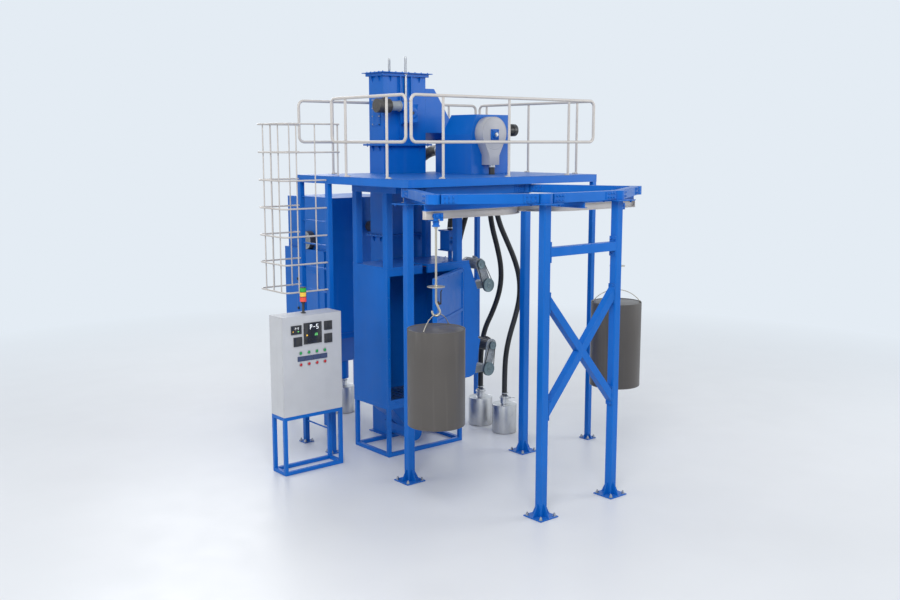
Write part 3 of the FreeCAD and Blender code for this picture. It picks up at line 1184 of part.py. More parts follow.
def make_elevator():
    """The bucket elevator's casing in four flanged lengths, with its cap and take-up screws."""
    west, east = "-elevator_left", "elevator_wide - elevator_left"
    near, far = "elevator_front", "elevator_front + elevator_deep"
    middle = "elevator_wide / 2 - elevator_left"
    joints = ["0", "elevator_boot_top", "elevator_mid_joint", "elevator_head_joint", "elevator_top"]
    lengths = []
    for index, name in enumerate(("boot", "lower", "middle", "head")):
        low = joints[index] + (" + seam / 2" if index else "")
        high = joints[index + 1] + (" - seam / 2" if index < 3 else "")
        parts = [block("casing_" + name, [west, near, low], [east, far, high])]
        for end, level in (("foot", low), ("top", high)):
            bottom = level if end == "foot" else "%s - plate_thick" % level
            parts.append(block("flange_%s_%s" % (name, end),
                               [west + " - flange_reach", near + " - flange_reach", bottom],
                               [east + " + flange_reach", far + " + flange_reach", bottom + " + plate_thick"]))
        if name == "head":
            parts.append(block("cap_lip", [west + " - flange_reach + 8", near + " - flange_reach + 8",
                                           high + " - cap_lip"],
                               [east + " + flange_reach - 8", far + " + flange_reach - 8", high]))
            for side, x in (("left", middle + " - guide_reach"), ("right", middle + " + guide_reach")):
                parts.append(block("guide_" + side,
                                   [x + " - 8", near + " - guide_deep", "elevator_head_joint + guide_rise"],
                                   [x + " + 8", near, high + " - cap_lip"]))
            parts.append(block("screw_bracket",
                               [middle + " - bracket_wide / 2", near + " - guide_deep", "take_up_foot - 60"],
                               [middle + " + bracket_wide / 2", near, "take_up_foot - 2"]))
        lengths.append(fuse("elevator_" + name, parts))
    near_row, far_row = near + " - flange_reach / 2", "(%s) + flange_reach / 2" % far
    hole = rod("screw_hole", "take_up_radius + seam", middle, near_row, "elevator_top - 200", "400")
    lengths[3] = cut("elevator_head_bored", lengths[3], hole)
    node("elevator_casing", lengths)
    front = rod("front_screw", "take_up_radius", middle, near_row, "take_up_foot - 1",
                "take_up_top - take_up_foot + 1")
    back = rod("back_screw", "take_up_radius", middle, far_row, "elevator_top + seam",
               "take_up_top - elevator_top - seam")
    nuts = []
    for name, y in (("front", near_row), ("back", far_row)):
        nut = doc.addObject("Part::Prism", name + "_nut")
        nut.Polygon = 6
        bind(nut, Circumradius="take_up_radius * 1.9", Height="take_up_nut")
        nuts.append(put(nut, middle, y, "elevator_top + seam"))
    node("take_up_screws", [fuse("front_take_up", [front, nuts[0]]), fuse("back_take_up", [back, nuts[1]])])


def make_gear_motor():
    """The elevator's worm reducer with its flange motor, on the head's front face."""
    back = "elevator_front - guide_deep - seam"
    shaft_y = "%s - gear_motor_radius - cowl_proud - seam" % back
    front = "%s - reducer_lead" % shaft_y
    deep = "(%s) - (%s)" % (back, front)
    body = block("reducer_box", ["reducer_x - reducer_wide / 2", front, "reducer_level - reducer_high / 2"],
                 ["reducer_x + reducer_wide / 2", back, "reducer_level + reducer_high / 2"])
    boss = rod("reducer_boss", "reducer_wide * 0.36", "reducer_x", front + " - 14", "reducer_level",
               deep + " + 14", "y")
    bore = rod("reducer_bore", "shaft_radius + 10", "reducer_x", front + " - 20", "reducer_level", "60", "y")
    side = "(reducer_x - reducer_wide / 2)"
    worm = rod("worm_case", "gear_motor_radius * 0.72", side + " - worm_lead", shaft_y, "gear_motor_level",
               "reducer_wide / 2 + worm_lead", "x")
    worm_side = block("worm_foot", [side + " - worm_lead * 0.63", front + " + 10", "reducer_level - 20"],
                      [side + " + 4", shaft_y + " + reducer_lead - 10", "gear_motor_level"])
    reducer = cut("reducer_made", fuse("reducer_solid", [body, boss, worm, worm_side]), bore)
    adapter_east = side + " - worm_lead - seam"
    adapter_west = "(-gear_motor_end + gear_motor_long)"
    adapter = rod("motor_adapter", "gear_motor_radius * 0.8", adapter_west, shaft_y, "gear_motor_level",
                  "(%s) - %s" % (adapter_east, adapter_west), "x")
    can = rod("motor_can", "gear_motor_radius", "-gear_motor_end + gear_cowl_long - 2", shaft_y,
              "gear_motor_level", "gear_motor_long - gear_cowl_long + 4", "x")
    cowl = rod("motor_cowl", "gear_motor_radius + cowl_proud", "-gear_motor_end", shaft_y,
               "gear_motor_level", "gear_cowl_long", "x")
    node("elevator_gearmotor", [reducer, fuse("elevator_motor_made", [adapter, can, cowl])])


def make_separator():
    """The separator with its round tailings housing, bearing, motor and the elevator's chute."""
    low = "deck_top + seam"
    side = prism("separator_side", "yz", [
        ("-separator_front", low), ("separator_back", low), ("separator_back", "separator_eaves"),
        ("separator_back - separator_lean_back", "separator_top"), ("-separator_front", "separator_top")],
        "separator_left", "separator_right")
    face = prism("separator_face", "xz", [
        ("separator_left", low), ("separator_right", low), ("separator_right", "separator_top"),
        ("separator_left + separator_lean_left", "separator_top"), ("separator_left", "separator_eaves")],
        "-separator_front", "separator_back")
    node("separator_housing", [overlap("separator_body", side, face)])
    back = "-separator_front - seam"
    front = "%s - tailings_deep" % back
    round_part = rod("tailings_round", "tailings_radius", "tailings_x", front, "tailings_level",
                     "tailings_deep", "y")
    half = "(tailings_neck_wide / 2)"
    drop = "(tailings_level - tailings_neck_level)"
    swing = "(atan2(%s; %s) + acos(tailings_radius / sqrt(%s ^ 2 + %s ^ 2)))" % (half, drop, half, drop)
    touch_x, touch_z = "tailings_radius * sin(%s)" % swing, "tailings_level - tailings_radius * cos(%s)" % swing
    cone = prism("tailings_cone", "xz", [
        ("tailings_x - " + touch_x, touch_z), ("tailings_x - " + half, "tailings_neck_level"),
        ("tailings_x - " + half, "tailings_foot"), ("tailings_x + " + half, "tailings_foot"),
        ("tailings_x + " + half, "tailings_neck_level"), ("tailings_x + " + touch_x, touch_z)],
        front, back)
    housing = fuse("tailings_made", [round_part, cone])
    spout_y = "(%s) - tailings_deep / 2" % back
    ring = rod("spout_ring", "tailings_neck_wide * 0.36", "tailings_x", spout_y,
               "tailings_foot - 36 - seam", "36")
    pipe = rod("spout_pipe", "tailings_neck_wide * 0.27", "tailings_x", spout_y, "deck_top + seam",
               "tailings_foot - deck_top - 30")
    node("tailings_housing", [housing, fuse("spout_made", [ring, pipe])])
    bearing_z = "tailings_level + 8"
    bearing_x, half = "(tailings_x + bearing_aside)", "bearing_flange / 2"
    flange = block("bearing_flange_plate",
                   ["%s - %s" % (bearing_x, half), front + " - 14 - seam", "%s - %s" % (bearing_z, half)],
                   ["%s + %s" % (bearing_x, half), front + " - seam", "%s + %s" % (bearing_z, half)])
    boss = rod("bearing_boss", "bearing_flange * 0.355", bearing_x, front + " - 40", bearing_z, "30", "y")
    shaft = rod("bearing_shaft", "screw_shaft", bearing_x, front + " - 74", bearing_z, "60", "y")
    can = rod("screw_motor_can", "screw_motor_radius", "separator_right + seam", "0", "screw_motor_level",
              "screw_motor_end - separator_right - 40", "x")
    cap = doc.addObject("Part::Cone", "screw_motor_cap")
    bind(cap, Radius1="screw_motor_radius", Radius2="screw_motor_radius - 26", Height="40 - seam")
    put(cap, "screw_motor_end - 40 + seam", "0", "screw_motor_level", (0, 1, 0), 90)
    node("separator_drive", [fuse("bearing_made", [flange, boss, shaft]), fuse("screw_motor_made", [can, cap])])
    east = "elevator_wide - elevator_left + seam"
    near, far = "elevator_front + seam", "elevator_front + elevator_deep"
    heel = "chute_foot - chute_rake"
    slope = prism("chute_slope", "xz", [
        (east, heel), ("separator_right", heel), ("separator_right", "chute_top - chute_fall"),
        ("(%s) + chute_shoulder" % east, "chute_top"), (east, "chute_top")], near, far)
    rake = prism("chute_rake_side", "yz", [
        (near, "chute_foot"), (far, heel), (far, "chute_top"), (near, "chute_top")], east, "separator_right")
    inlet = prism("inlet_box", "yz", [
        ("separator_back + seam", low), (far, low), (far, heel), (near, "chute_foot"),
        ("separator_back + seam", "chute_foot")], "inlet_left", "separator_right")
    under_slope = overlap("inlet_trimmed", inlet, prism("inlet_face", "xz", [
        ("inlet_left", low), ("separator_right", low), ("separator_right", "chute_top - chute_fall"),
        ("inlet_left", "chute_top - chute_fall + 60")], "separator_back + seam", far))
    node("elevator_chute", [fuse("chute_made", [overlap("chute_body", slope, rake), under_slope])])


DECK_EDGE = ("-deck_left", "deck_right", "-deck_front", "deck_back")


def make_deck():
    """Deck plates round the elevator, on edge beams and cross beams."""
    west, east, south, north = DECK_EDGE
    hole_west = "-elevator_left - deck_hole_gap"
    hole_east = "elevator_wide - elevator_left + deck_hole_gap"
    hole_south, hole_north = "elevator_front - deck_hole_gap", "elevator_front + elevator_deep + deck_hole_gap"
    low, high = "deck_top - deck_plate", "deck_top"
    plates = [
        block("deck_front_plate", [west, south, low], [east, hole_south, high]),
        block("deck_left_plate", [west, hole_south + " + seam", low], [hole_west, hole_north, high]),
        block("deck_right_plate", [hole_east, hole_south + " + seam", low], [east, hole_north, high]),
        block("deck_back_plate", [west, hole_north + " + seam", low], [east, north, high]),
    ]
    foot, top = "deck_top - fascia_depth", "deck_top - deck_plate - seam"
    wide = "deck_beam_wide"
    beams = [block("edge_front", [west, south, foot], [east, south + " + " + wide, top]),
             block("edge_back", [west, north + " - " + wide, foot], [east, north, top])]
    inner_south, inner_north = south + " + %s + seam" % wide, north + " - %s - seam" % wide
    for name, x in (("left", west), ("right", east + " - " + wide)):
        beams.append(block("edge_" + name, [x, inner_south, foot], [x + " + " + wide, inner_north, top]))
    for name, x in (("west", "-cabinet_left"), ("east", "cabinet_right + 60")):
        beams.append(block("cross_beam_" + name, [x, inner_south, foot], [x + " + " + wide, inner_north, top]))
    far_beam = "(deck_right + cabinet_right) / 2 + 120"
    beams.append(block("cross_beam_far", [far_beam, inner_south, foot],
                       [far_beam + " + " + wide, inner_north, top]))
    node("platform_deck", plates)
    node("deck_beams", beams)


def make_subframe():
    """Beams and posts that carry the deck on the cabinet, and the deck's own corner legs."""
    west, east = "-cabinet_left", "cabinet_right"
    near, far = "-separator_front - 75", BACK
    side = "subframe_post"
    low, high = "ring_under", "deck_top - fascia_depth - seam"
    pieces = []
    for name, x in (("left", west), ("right", east + " - " + side)):
        pieces.append(block("bearer_" + name, [x, near, low], [x + " + " + side, far, high]))
        for row, y in (("front", FRONT), ("back", BACK + " - " + side)):
            pieces.append(post("%s_%s_post" % (name, row), "%s + %s / 2" % (x, side), "%s + %s / 2" % (y, side),
                               "cabinet_top + seam", low + " - seam", side, "column_corner * 0.8"))
    for name, y in (("front", near), ("back", BACK + " - " + side)):
        pieces.append(block("bearer_" + name, [west + " + %s + seam" % side, y, low],
                            [east + " - %s - seam" % side, y + " + " + side, high]))
    legs = []
    for name, x, y in (("front", "deck_right - leg_side / 2", "-deck_front + leg_side / 2"),
                       ("back", "deck_right - leg_side / 2", "deck_back - leg_side / 2")):
        top = "deck_top - fascia_depth - seam"
        leg = post(name + "_leg", x, y, 0, top, "leg_side", "column_corner * 0.6")
        foot = post(name + "_leg_foot", x, y, 0, "plate_thick", "leg_side * 2.4")
        ribs = [rib("%s_leg_rib_%d" % (name, way), "leg_side * 0.62", "leg_side", "rib_thick * 0.8",
                    "(%s) + %d * (leg_side / 2 - 2)" % (x, ahead),
                    "(%s) + %d * (leg_side / 2 - 2)" % (y, aside), "plate_thick - 2", way)
                for way, (ahead, aside) in {0: (1, 0), 90: (0, 1), 180: (-1, 0), 270: (0, -1)}.items()]
        legs.append(fuse(name + "_leg_made", [leg, foot] + ribs))
    node("deck_supports", pieces + legs)


def bent_frame(start, end, low, high, corner, radius):
    """A rail frame of four straight tubes and four bends, in the upright plane from start to end."""
    ahead = (end - start).normalize()
    up = FreeCAD.Vector(0, 0, 1)
    span = (end - start).Length
    gap = value("seam")

    def at(along, level):
        return start + ahead * along + up * (level - start.z)

    pieces = []
    runs = [(at(corner + gap, low), at(span - corner - gap, low)),
            (at(corner + gap, high), at(span - corner - gap, high)),
            (at(0, low + corner + gap), at(0, high - corner - gap)),
            (at(span, low + corner + gap), at(span, high - corner - gap))]
    for begin, finish in runs:
        pieces.append(Part.makeCylinder(radius, (finish - begin).Length, begin, finish - begin))
    diagonal = corner * (1 - math.sqrt(0.5))
    corners = ((0, low, 1, 1), (span, low, -1, 1), (span, high, -1, -1), (0, high, 1, -1))
    for along, level, side, rise in corners:
        arc = Part.Arc(at(along, level + rise * corner), at(along + side * diagonal, level + rise * diagonal),
                       at(along + side * corner, level))
        pieces.append(tube_along(Part.Wire([arc.toShape()]), radius))
    return pieces


def make_guard_rails():
    """Rail frames with rounded corners on upright posts, all round the deck."""
    low, high = value("knee_rail_level"), value("handrail_level")
    inset, radius, corner = value("rail_inset"), value("rail_tube"), value("rail_corner")
    west, east = -value("deck_left") + inset, value("deck_right") - inset
    south, north = -value("deck_front") + inset, value("deck_back") - inset
    apart = value("rail_tube * 2 + swing_clearance")
    gate = value("ladder_front") - 130
    spans = {
        "front": (FreeCAD.Vector(west + apart, south, low), FreeCAD.Vector(east - apart, south, low)),
        "right": (FreeCAD.Vector(east, south + apart, low), FreeCAD.Vector(east, north - apart, low)),
        "back": (FreeCAD.Vector(east - apart, north, low),
                 FreeCAD.Vector(west + value("back_rail_lead"), north, low)),
        "left": (FreeCAD.Vector(west, gate, low), FreeCAD.Vector(west, south + apart, low)),
    }
    stations = {"front": (0.155, 0.5, 0.845), "right": (0.13, 0.54, 0.93),
                "back": (0.17, 0.5, 0.83), "left": (0.2, 0.76)}
    gap = value("seam")
    pieces = []
    for label, (start, end) in spans.items():
        pieces += bent_frame(start, end, low, high, corner, radius)
        for share in stations[label]:
            foot = start + (end - start) * share
            levels = [(value("deck_top") + gap, low - radius - gap), (low + radius + gap, high - radius - gap)]
            for bottom, top in levels:
                base = FreeCAD.Vector(foot.x, foot.y, bottom)
                pieces.append(Part.makeCylinder(value("post_tube"), top - bottom, base))
    solid_node("guard_rails", Part.makeCompound(pieces))


def make_ladder():
    """Two stiles with feet and their rungs."""
    side = "leg_side"
    parts = []
    for name, y in (("front", "ladder_front"), ("back", "ladder_back - leg_side / 2")):
        top = "deck_top - fascia_depth - seam"
        x = "-deck_left + leg_side / 2"
        shaft = post(name + "_stile", x, y, 0, top, side, "column_corner * 0.6")
        foot = post(name + "_stile_foot", x, y, 0, "plate_thick", "leg_side * 2.2")
        parts.append(fuse(name + "_stile_made", [shaft, foot]))
    rungs = []
    for index in range(11):
        rungs.append(rod("rung_%d" % index, "rung_radius", "-deck_left + leg_side / 2",
                         "ladder_front + leg_side / 2 + seam", "rung_pitch * %d" % (index + 1),
                         "ladder_back - ladder_front - leg_side * 3 / 2 - 2 * seam", "y"))
    node("access_ladder", parts + rungs)


def make_cage():
    """The safety cage: bent hoops, upright bars, and top bars that reach back to the deck."""
    radius, bend, gap = value("cage_bar"), value("cage_bend"), value("seam")
    inner = -value("deck_left") - gap
    outer = inner - value("cage_deep")
    near, far = value("ladder_front"), value("ladder_back") - value("leg_side") / 2
    foot, top = value("cage_foot"), value("cage_top")
    levels = [foot + index * (top - foot) / 6 for index in range(7)]
    pieces = []
    diagonal = bend * (1 - math.sqrt(0.5))
    reach = value("cage_reach_back")
    rail_end = value("-deck_left + rail_inset + back_rail_lead - rail_tube - seam")
    for index, level in enumerate(levels):
        near_end = inner if index < 5 else inner + reach
        far_end = inner if index < 5 else rail_end
        runs = [((near_end, near), (outer + bend + gap, near)), ((far_end, far), (outer + bend + gap, far)),
                ((outer, near + bend + gap), (outer, far - bend - gap))]
        for begin, finish in runs:
            start, end = FreeCAD.Vector(*begin, level), FreeCAD.Vector(*finish, level)
            pieces.append(Part.makeCylinder(radius, (end - start).Length, start, end - start))
        for y, side in ((near, 1), (far, -1)):
            arc = Part.Arc(FreeCAD.Vector(outer + bend, y, level),
                           FreeCAD.Vector(outer + diagonal, y + side * diagonal, level),
                           FreeCAD.Vector(outer, y + side * bend, level))
            pieces.append(tube_along(Part.Wire([arc.toShape()]), radius))
    slim = radius * 0.8
    inside = radius + slim + gap
    uprights = [(inner - 150, near + inside), (outer + bend + 120, near + inside),
                (outer + inside, near + bend + 60), (outer + inside, (near + far) / 2),
                (outer + inside, far - bend - 60), (outer + bend + 120, far - inside),
                (inner - 150, far - inside)]
    for x, y in uprights:
        pieces.append(Part.makeCylinder(slim, top - foot + 2 * radius, FreeCAD.Vector(x, y, foot - radius)))
    base = FreeCAD.Vector(inner + reach - radius, near + 2 * radius + gap, value("deck_top") + gap)
    pieces.append(Part.makeCylinder(radius, top + radius - base.z, base))
    solid_node("ladder_cage", Part.makeCompound(pieces))


def make_panel():
    """The control panel: stand, sheet enclosure, mounting plate, hinged door and instruments."""
    west, east = "-panel_left", "panel_wide - panel_left"
    near, far = "panel_front", "panel_front + panel_deep"
    side = "stand_tube"
    pieces = []
    for column, x in (("left", west), ("right", east + " - " + side)):
        for row, y in (("front", near), ("back", far + " - " + side)):
            pieces.append(post("stand_%s_%s" % (column, row), "%s + %s / 2" % (x, side),
                               "%s + %s / 2" % (y, side), 0, "panel_foot - seam", side))
        for level, low in (("foot", "0"), ("head", "panel_foot - seam - " + side)):
            pieces.append(block("stand_%s_%s_rail" % (level, column), [x, near + " + %s + seam" % side, low],
                                [x + " + " + side, far + " - %s - seam" % side, low + " + " + side]))
    for level, low in (("foot", "0"), ("head", "panel_foot - seam - " + side)):
        for row, y in (("front", near), ("back", far + " - " + side)):
            pieces.append(block("stand_%s_%s" % (level, row), [west + " + %s + seam" % side, y, low],
                                [east + " - %s - seam" % side, y + " + " + side, low + " + " + side]))
    node("panel_stand", pieces)
    box_near = near + " + panel_door_thick + swing_clearance / 4"
    low, high, thick = "panel_foot", "panel_top", "panel_sheet"
    inner_west, inner_east = west + " + %s + seam" % thick, east + " - %s - seam" % thick
    inner_far = far + " - %s - seam" % thick
    sheets = [
        block("panel_back", [west, far + " - " + thick, low], [east, far, high]),
        block("panel_left_side", [west, box_near, low], [west + " + " + thick, inner_far, high]),
        block("panel_right_side", [east + " - " + thick, box_near, low], [east, inner_far, high]),
        block("panel_floor", [inner_west, box_near, low], [inner_east, inner_far, low + " + " + thick]),
        block("panel_roof", [inner_west, box_near, high + " - " + thick], [inner_east, inner_far, high]),
        block("mounting_plate",
              [west + " + plate_border", inner_far + " - mounting_plate", low + " + plate_border"],
              [east + " - plate_border", inner_far, high + " - plate_border"]),
    ]
    node("panel_enclosure", sheets)
    node("panel_door", [block("panel_door_box", [west, near, low], [east, near + " + panel_door_thick", high])])
    face = near + " - seam"

    def display(name, left, right, low_z, high_z, thick_out):
        return block(name, ["%s + %s" % (west, left), "%s - %s" % (face, thick_out), "panel_foot + %s" % low_z],
                     ["%s + %s" % (west, right), face, "panel_foot + %s" % high_z])

    screens = [
        display("small_display", 196, 304, 1000, 1094, 12),
        display("large_display", 334, 534, 895, 1092, 14),
        display("meter_left", 222, 306, 842, 938, 10),
        display("meter_upper", 566, 648, 962, 1060, 10),
        display("meter_lower", 566, 648, 816, 912, 10),
    ]
    node("panel_displays", screens)
    lamps = [display("lamp_strip", 262, 590, 612, 680, 6)]
    for name in ("green", "red"):
        for index in range(4):
            lamps.append(rod("%s_lamp_%d" % (name, index), "lamp_radius",
                             "%s + lamp_first + %d * lamp_pitch" % (west, index), face + " - lamp_out",
                             "panel_foot + %s_lamp_rise" % name, "lamp_out", "y"))
    node("panel_lamps", lamps)
    mast_x, mast_y = "(%s) + panel_wide / 2 - 20" % west, "panel_front + panel_deep * 0.55"
    foot = rod("mast_foot", "lens_radius - 7", mast_x, mast_y, "panel_top + seam", "12")
    mast = rod("mast_pole", "lens_radius / 3", mast_x, mast_y, "panel_top + seam", "mast_high")
    lenses = []
    for index, name in enumerate(("red", "amber", "green")):
        foot_level = "panel_top + mast_high + 2 * seam + %d * (lens_high + seam)" % index
        lenses.append(rod("%s_lens" % name, "lens_radius", mast_x, mast_y, foot_level, "lens_high"))
    node("stack_light", [fuse("mast_made", [foot, mast])] + lenses)


def make_collector():
    """The dust collector: two stepped bodies, hopper, legs, fan and the duct that feeds it."""
    west, east = "collector_x - collector_wide / 2", "collector_x + collector_wide / 2"
    near, far = "collector_row - collector_long / 2", "collector_row + collector_long / 2"
    lower = block("collector_lower", [west, near, "collector_floor"], [east, far, "collector_ledge"])
    upper = block("collector_upper", [west + " + collector_step", near, "collector_ledge"],
                  [east + " - collector_step", far, "collector_top"])
    band = block("collector_band", [west + " - band_proud", near + " - band_proud", "collector_floor + 60"],
                 [east + " + band_proud", far + " + band_proud", "collector_floor + 84"])
    hopper = doc.addObject("Part::Wedge", "collector_hopper")
    half = "(collector_neck + 20)"
    inset = "collector_leg + seam"
    bind(hopper, Xmin="%s + %s" % (west, inset), Xmax="%s - (%s)" % (east, inset),
         Zmin="%s + %s" % (near, inset), Zmax="%s - (%s)" % (far, inset),
         Ymin="0", Ymax="collector_floor - collector_outlet", X2min="collector_x - " + half,
         X2max="collector_x + " + half, Z2min="collector_row - " + half, Z2max="collector_row + " + half)
    put(hopper, 0, 0, "collector_floor", (1, 0, 0), -90)
    neck = rod("collector_neck_pipe", "collector_neck", "collector_x", "collector_row", "bin_total + seam",
               "collector_outlet - bin_total")
    node("collector_body", [fuse("collector_made", [lower, upper, band, hopper, neck])])
    legs = []
    for column, x in (("left", west + " + collector_leg / 2"), ("right", east + " - collector_leg / 2")):
        for row, y in (("front", near + " + collector_leg / 2"), ("back", far + " - collector_leg / 2")):
            legs.append(post("collector_leg_%s_%s" % (column, row), x, y, 0, "collector_floor - seam",
                             "collector_leg"))
    node("collector_legs", legs)
    fan = rod("fan_drum", "fan_radius", west + " - 20", "collector_row - 90",
              "collector_ledge + seam + fan_radius", "collector_step + 20 - seam", "x")
    node("collector_fan", [fan])


def hose(label, route, radius):
    """A hose along a hand-chosen route: straight runs joined by the largest arcs they allow."""
    points = [FreeCAD.Vector(*place) for place in route]
    radii = []
    for before, corner, after in zip(points, points[1:], points[2:]):
        half = (corner - before).getAngle(after - corner) / 2
        shorter = min((corner - before).Length, (after - corner).Length)
        radii.append(0.45 * shorter / math.tan(half))
    path = rounded_path(points, radii)
    shape = tube_along(path, radius)
    ideal = math.pi * radius ** 2 * path.Length
    print("%s: length %.0f, radii %s, volume ratio %.4f" % (
        label, path.Length, [round(item) for item in radii], shape.Volume / ideal))
    solid_node(label, shape)


def make_hoses():
    """Hose spigots under the deck, the shot valve and the four hanging hoses."""
    top = value("spigot_foot")
    bin_top = value("bin_total")
    routes = {
        "valve_hose": [(905, 290, top), (905, 290, 3485), (864, 290, 3372), (741, 290, 3209), (700, 290, 3096),
                       (700, 290, value("valve_head"))],
        "wheel_hose": [(1060, 300, top), (1060, 300, 3400), (1022, 310, 3190), (958, 327, 2985),
                       (905, 339, 2790), (880, 345, 2640), (880, 345, value("wheel_feed_top"))],
        "rear_bin_hose": [(1345, 190, top), (1345, 190, 3320), (1392, 182, 3000), (1500, 178, 2690),
                          (1598, 195, 2380), (1622, 238, 2060), (1570, 330, 1740), (1480, 430, 1450),
                          (1444, 462, 1140), (1440, 465, 840), (1440, 465, bin_top)],
        "front_bin_hose": [(1300, 20, top), (1300, 20, 3340), (1372, 5, 3060), (1500, -20, 2800),
                           (1630, -50, 2530), (1712, -75, 2250), (1708, -86, 1960), (1618, -88, 1680),
                           (1512, -84, 1420), (1446, -78, 1150), (1430, -75, 860), (1430, -75, bin_top)],
    }
    spigots = []
    for index, (label, route) in enumerate(routes.items()):
        hose(label, route, value("hose_radius"))
        x, y = route[0][:2]
        spigots.append(rod("spigot_%d" % index, "spigot_radius", x, y, "spigot_foot",
                           "deck_top - deck_plate - seam - spigot_foot"))
    inlet = rod("wheel_inlet", "spigot_radius", "wheel_feed_x", "wheel_feed_y", "pocket_upper_foot",
                "wheel_feed_top - pocket_upper_foot")
    spigots.append(cut("wheel_inlet_made", inlet, grown_pocket("inlet")))
    node("hose_spigots", spigots)
    x, y, side = "valve_x", "valve_y", "valve_side"
    pipe = rod("valve_down_pipe", "valve_pipe", x, y, "cabinet_top + seam", "valve_foot - cabinet_top")
    body = post("valve_box", x, y, "valve_foot", "valve_head", side)
    flanges = [post("valve_flange_%d" % index, x, y, low, "(%s) + valve_flange" % low, "valve_side + 44")
               for index, low in enumerate(("valve_foot", "valve_head - valve_flange"))]
    actuator = rod("valve_actuator", "actuator_radius", x + " - 20", y + " - valve_side / 2 - actuator_long",
                   "valve_foot + 130", "actuator_long + 4", "y")
    node("shot_valve", [fuse("valve_made", [pipe, body, actuator] + flanges)])


def make_bin(name, x, y):
    """A steel bin with its neck and clamp ring."""
    body = rod(name + "_body", "bin_radius", x, y, 0, "bin_high")
    shoulder = doc.addObject("Part::Cone", name + "_shoulder")
    bind(shoulder, Radius1="bin_radius - 8", Radius2="bin_radius - 40", Height="26")
    put(shoulder, x, y, "bin_high")
    neck = rod(name + "_neck", "bin_neck", x, y, "bin_high", "bin_total - bin_high")
    ring = rod(name + "_clamp", "bin_neck + 16", x, y, "(bin_high + bin_total) / 2 + 8", "24")
    return fuse(name + "_made", [body, shoulder, neck, ring])


def make_bins():
    """Two bins under the shot hoses and one under the dust collector."""
    node("collecting_bins", [make_bin("front_bin", "front_bin_x", "front_bin_y"),
                             make_bin("rear_bin", "rear_bin_x", "rear_bin_y"),
                             make_bin("dust_bin", "collector_x", "collector_row")])


def make_dust_duct():
    """The dust duct from the separator's inlet box, down behind the elevator, to the collector."""
    leave, drop, row = value("separator_right - duct_in"), value("duct_drop_x"), value("duct_row")
    level, inlet = value("duct_level"), value("duct_inlet")
    start = value("elevator_front + elevator_deep + seam")
    wall = value("collector_row - collector_long / 2 - seam")
    route = [FreeCAD.Vector(leave, start, level), FreeCAD.Vector(leave, start + value("duct_lead"), level),
             FreeCAD.Vector(drop, row, level - value("duct_slant")), FreeCAD.Vector(drop, row, inlet),
             FreeCAD.Vector(drop, wall, inlet)]
    bend = value("duct_bend")
    path = rounded_path(route, [bend, bend, bend])
    solid_node("dust_duct", tube_along(path, value("dust_duct")))


def build():
    make_columns()
    make_ring()
    make_braces()
    make_carriers()
    make_rail()
    for side, x in (("left", "-left_trolley_at"), ("right", "right_trolley_at")):
        make_trolley(side, x)
        make_hook(side, x, side + "_hook_turn")
        make_drum(side, x, side + "_bail_turn")
    make_base_frame()
    make_cabinet()
    make_floor()
    make_pockets()
    make_door()
    make_drives()
    make_elevator()
    make_gear_motor()
    make_separator()
    make_deck()
    make_subframe()
    make_guard_rails()
    make_ladder()
    make_cage()
    make_panel()
    make_collector()
    make_hoses()
    make_bins()
    make_dust_duct()


build()
doc.recompute()
for thing in doc.Objects:
    if {"Invalid", "Error"} & set(thing.State):
        raise ValueError("%s did not rebuild" % thing.Label)
os.makedirs("parts", exist_ok=True)
for piece in nodes:
    if piece.Shape.isNull() or not piece.Shape.isValid():
        raise ValueError("%s has no sound shape" % piece.Label)
    piece.Shape.exportStep("parts/%s.step" % piece.Label)
print("%d sub-parts written" % len(nodes))
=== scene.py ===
"""The looks of a hook type shot blasting machine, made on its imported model."""
import math

import bmesh
import bpy
from mathutils import Matrix, Vector


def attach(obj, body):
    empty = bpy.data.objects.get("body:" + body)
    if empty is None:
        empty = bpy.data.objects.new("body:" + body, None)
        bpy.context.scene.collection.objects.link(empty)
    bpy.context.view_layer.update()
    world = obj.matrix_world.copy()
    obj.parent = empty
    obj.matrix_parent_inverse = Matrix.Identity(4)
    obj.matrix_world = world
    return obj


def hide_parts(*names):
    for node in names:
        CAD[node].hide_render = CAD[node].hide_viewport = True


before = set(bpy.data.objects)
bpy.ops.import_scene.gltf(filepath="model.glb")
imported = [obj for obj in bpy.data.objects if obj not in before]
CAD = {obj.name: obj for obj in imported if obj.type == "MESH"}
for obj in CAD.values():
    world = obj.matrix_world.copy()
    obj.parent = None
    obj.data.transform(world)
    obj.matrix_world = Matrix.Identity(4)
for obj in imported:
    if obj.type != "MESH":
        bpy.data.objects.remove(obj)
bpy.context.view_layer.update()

bl_info = {
    "name": "Hook blast machine looks",
    "version": (1, 0, 0),
    "blender": (4, 5, 0),
    "location": "3D View > Sidebar > Blast machine",
    "description": "Paint, fasteners, hoses and fittings of a hook type shot blasting machine",
    "category": "Object",
}

FIXED = "machine_frame"


def linear(code):
    """A colour written as six hex digits, as the linear values that shaders take."""
    levels = [int(code[place:place + 2], 16) / 255 for place in (0, 2, 4)]
    return tuple(level / 12.92 if level <= 0.04045 else ((level + 0.055) / 1.055) ** 2.4 for level in levels)


def colour_setting(name, code, description):
    return bpy.props.FloatVectorProperty(
        name=name, description=description, subtype="COLOR", size=3, min=0, max=1, default=linear(code))


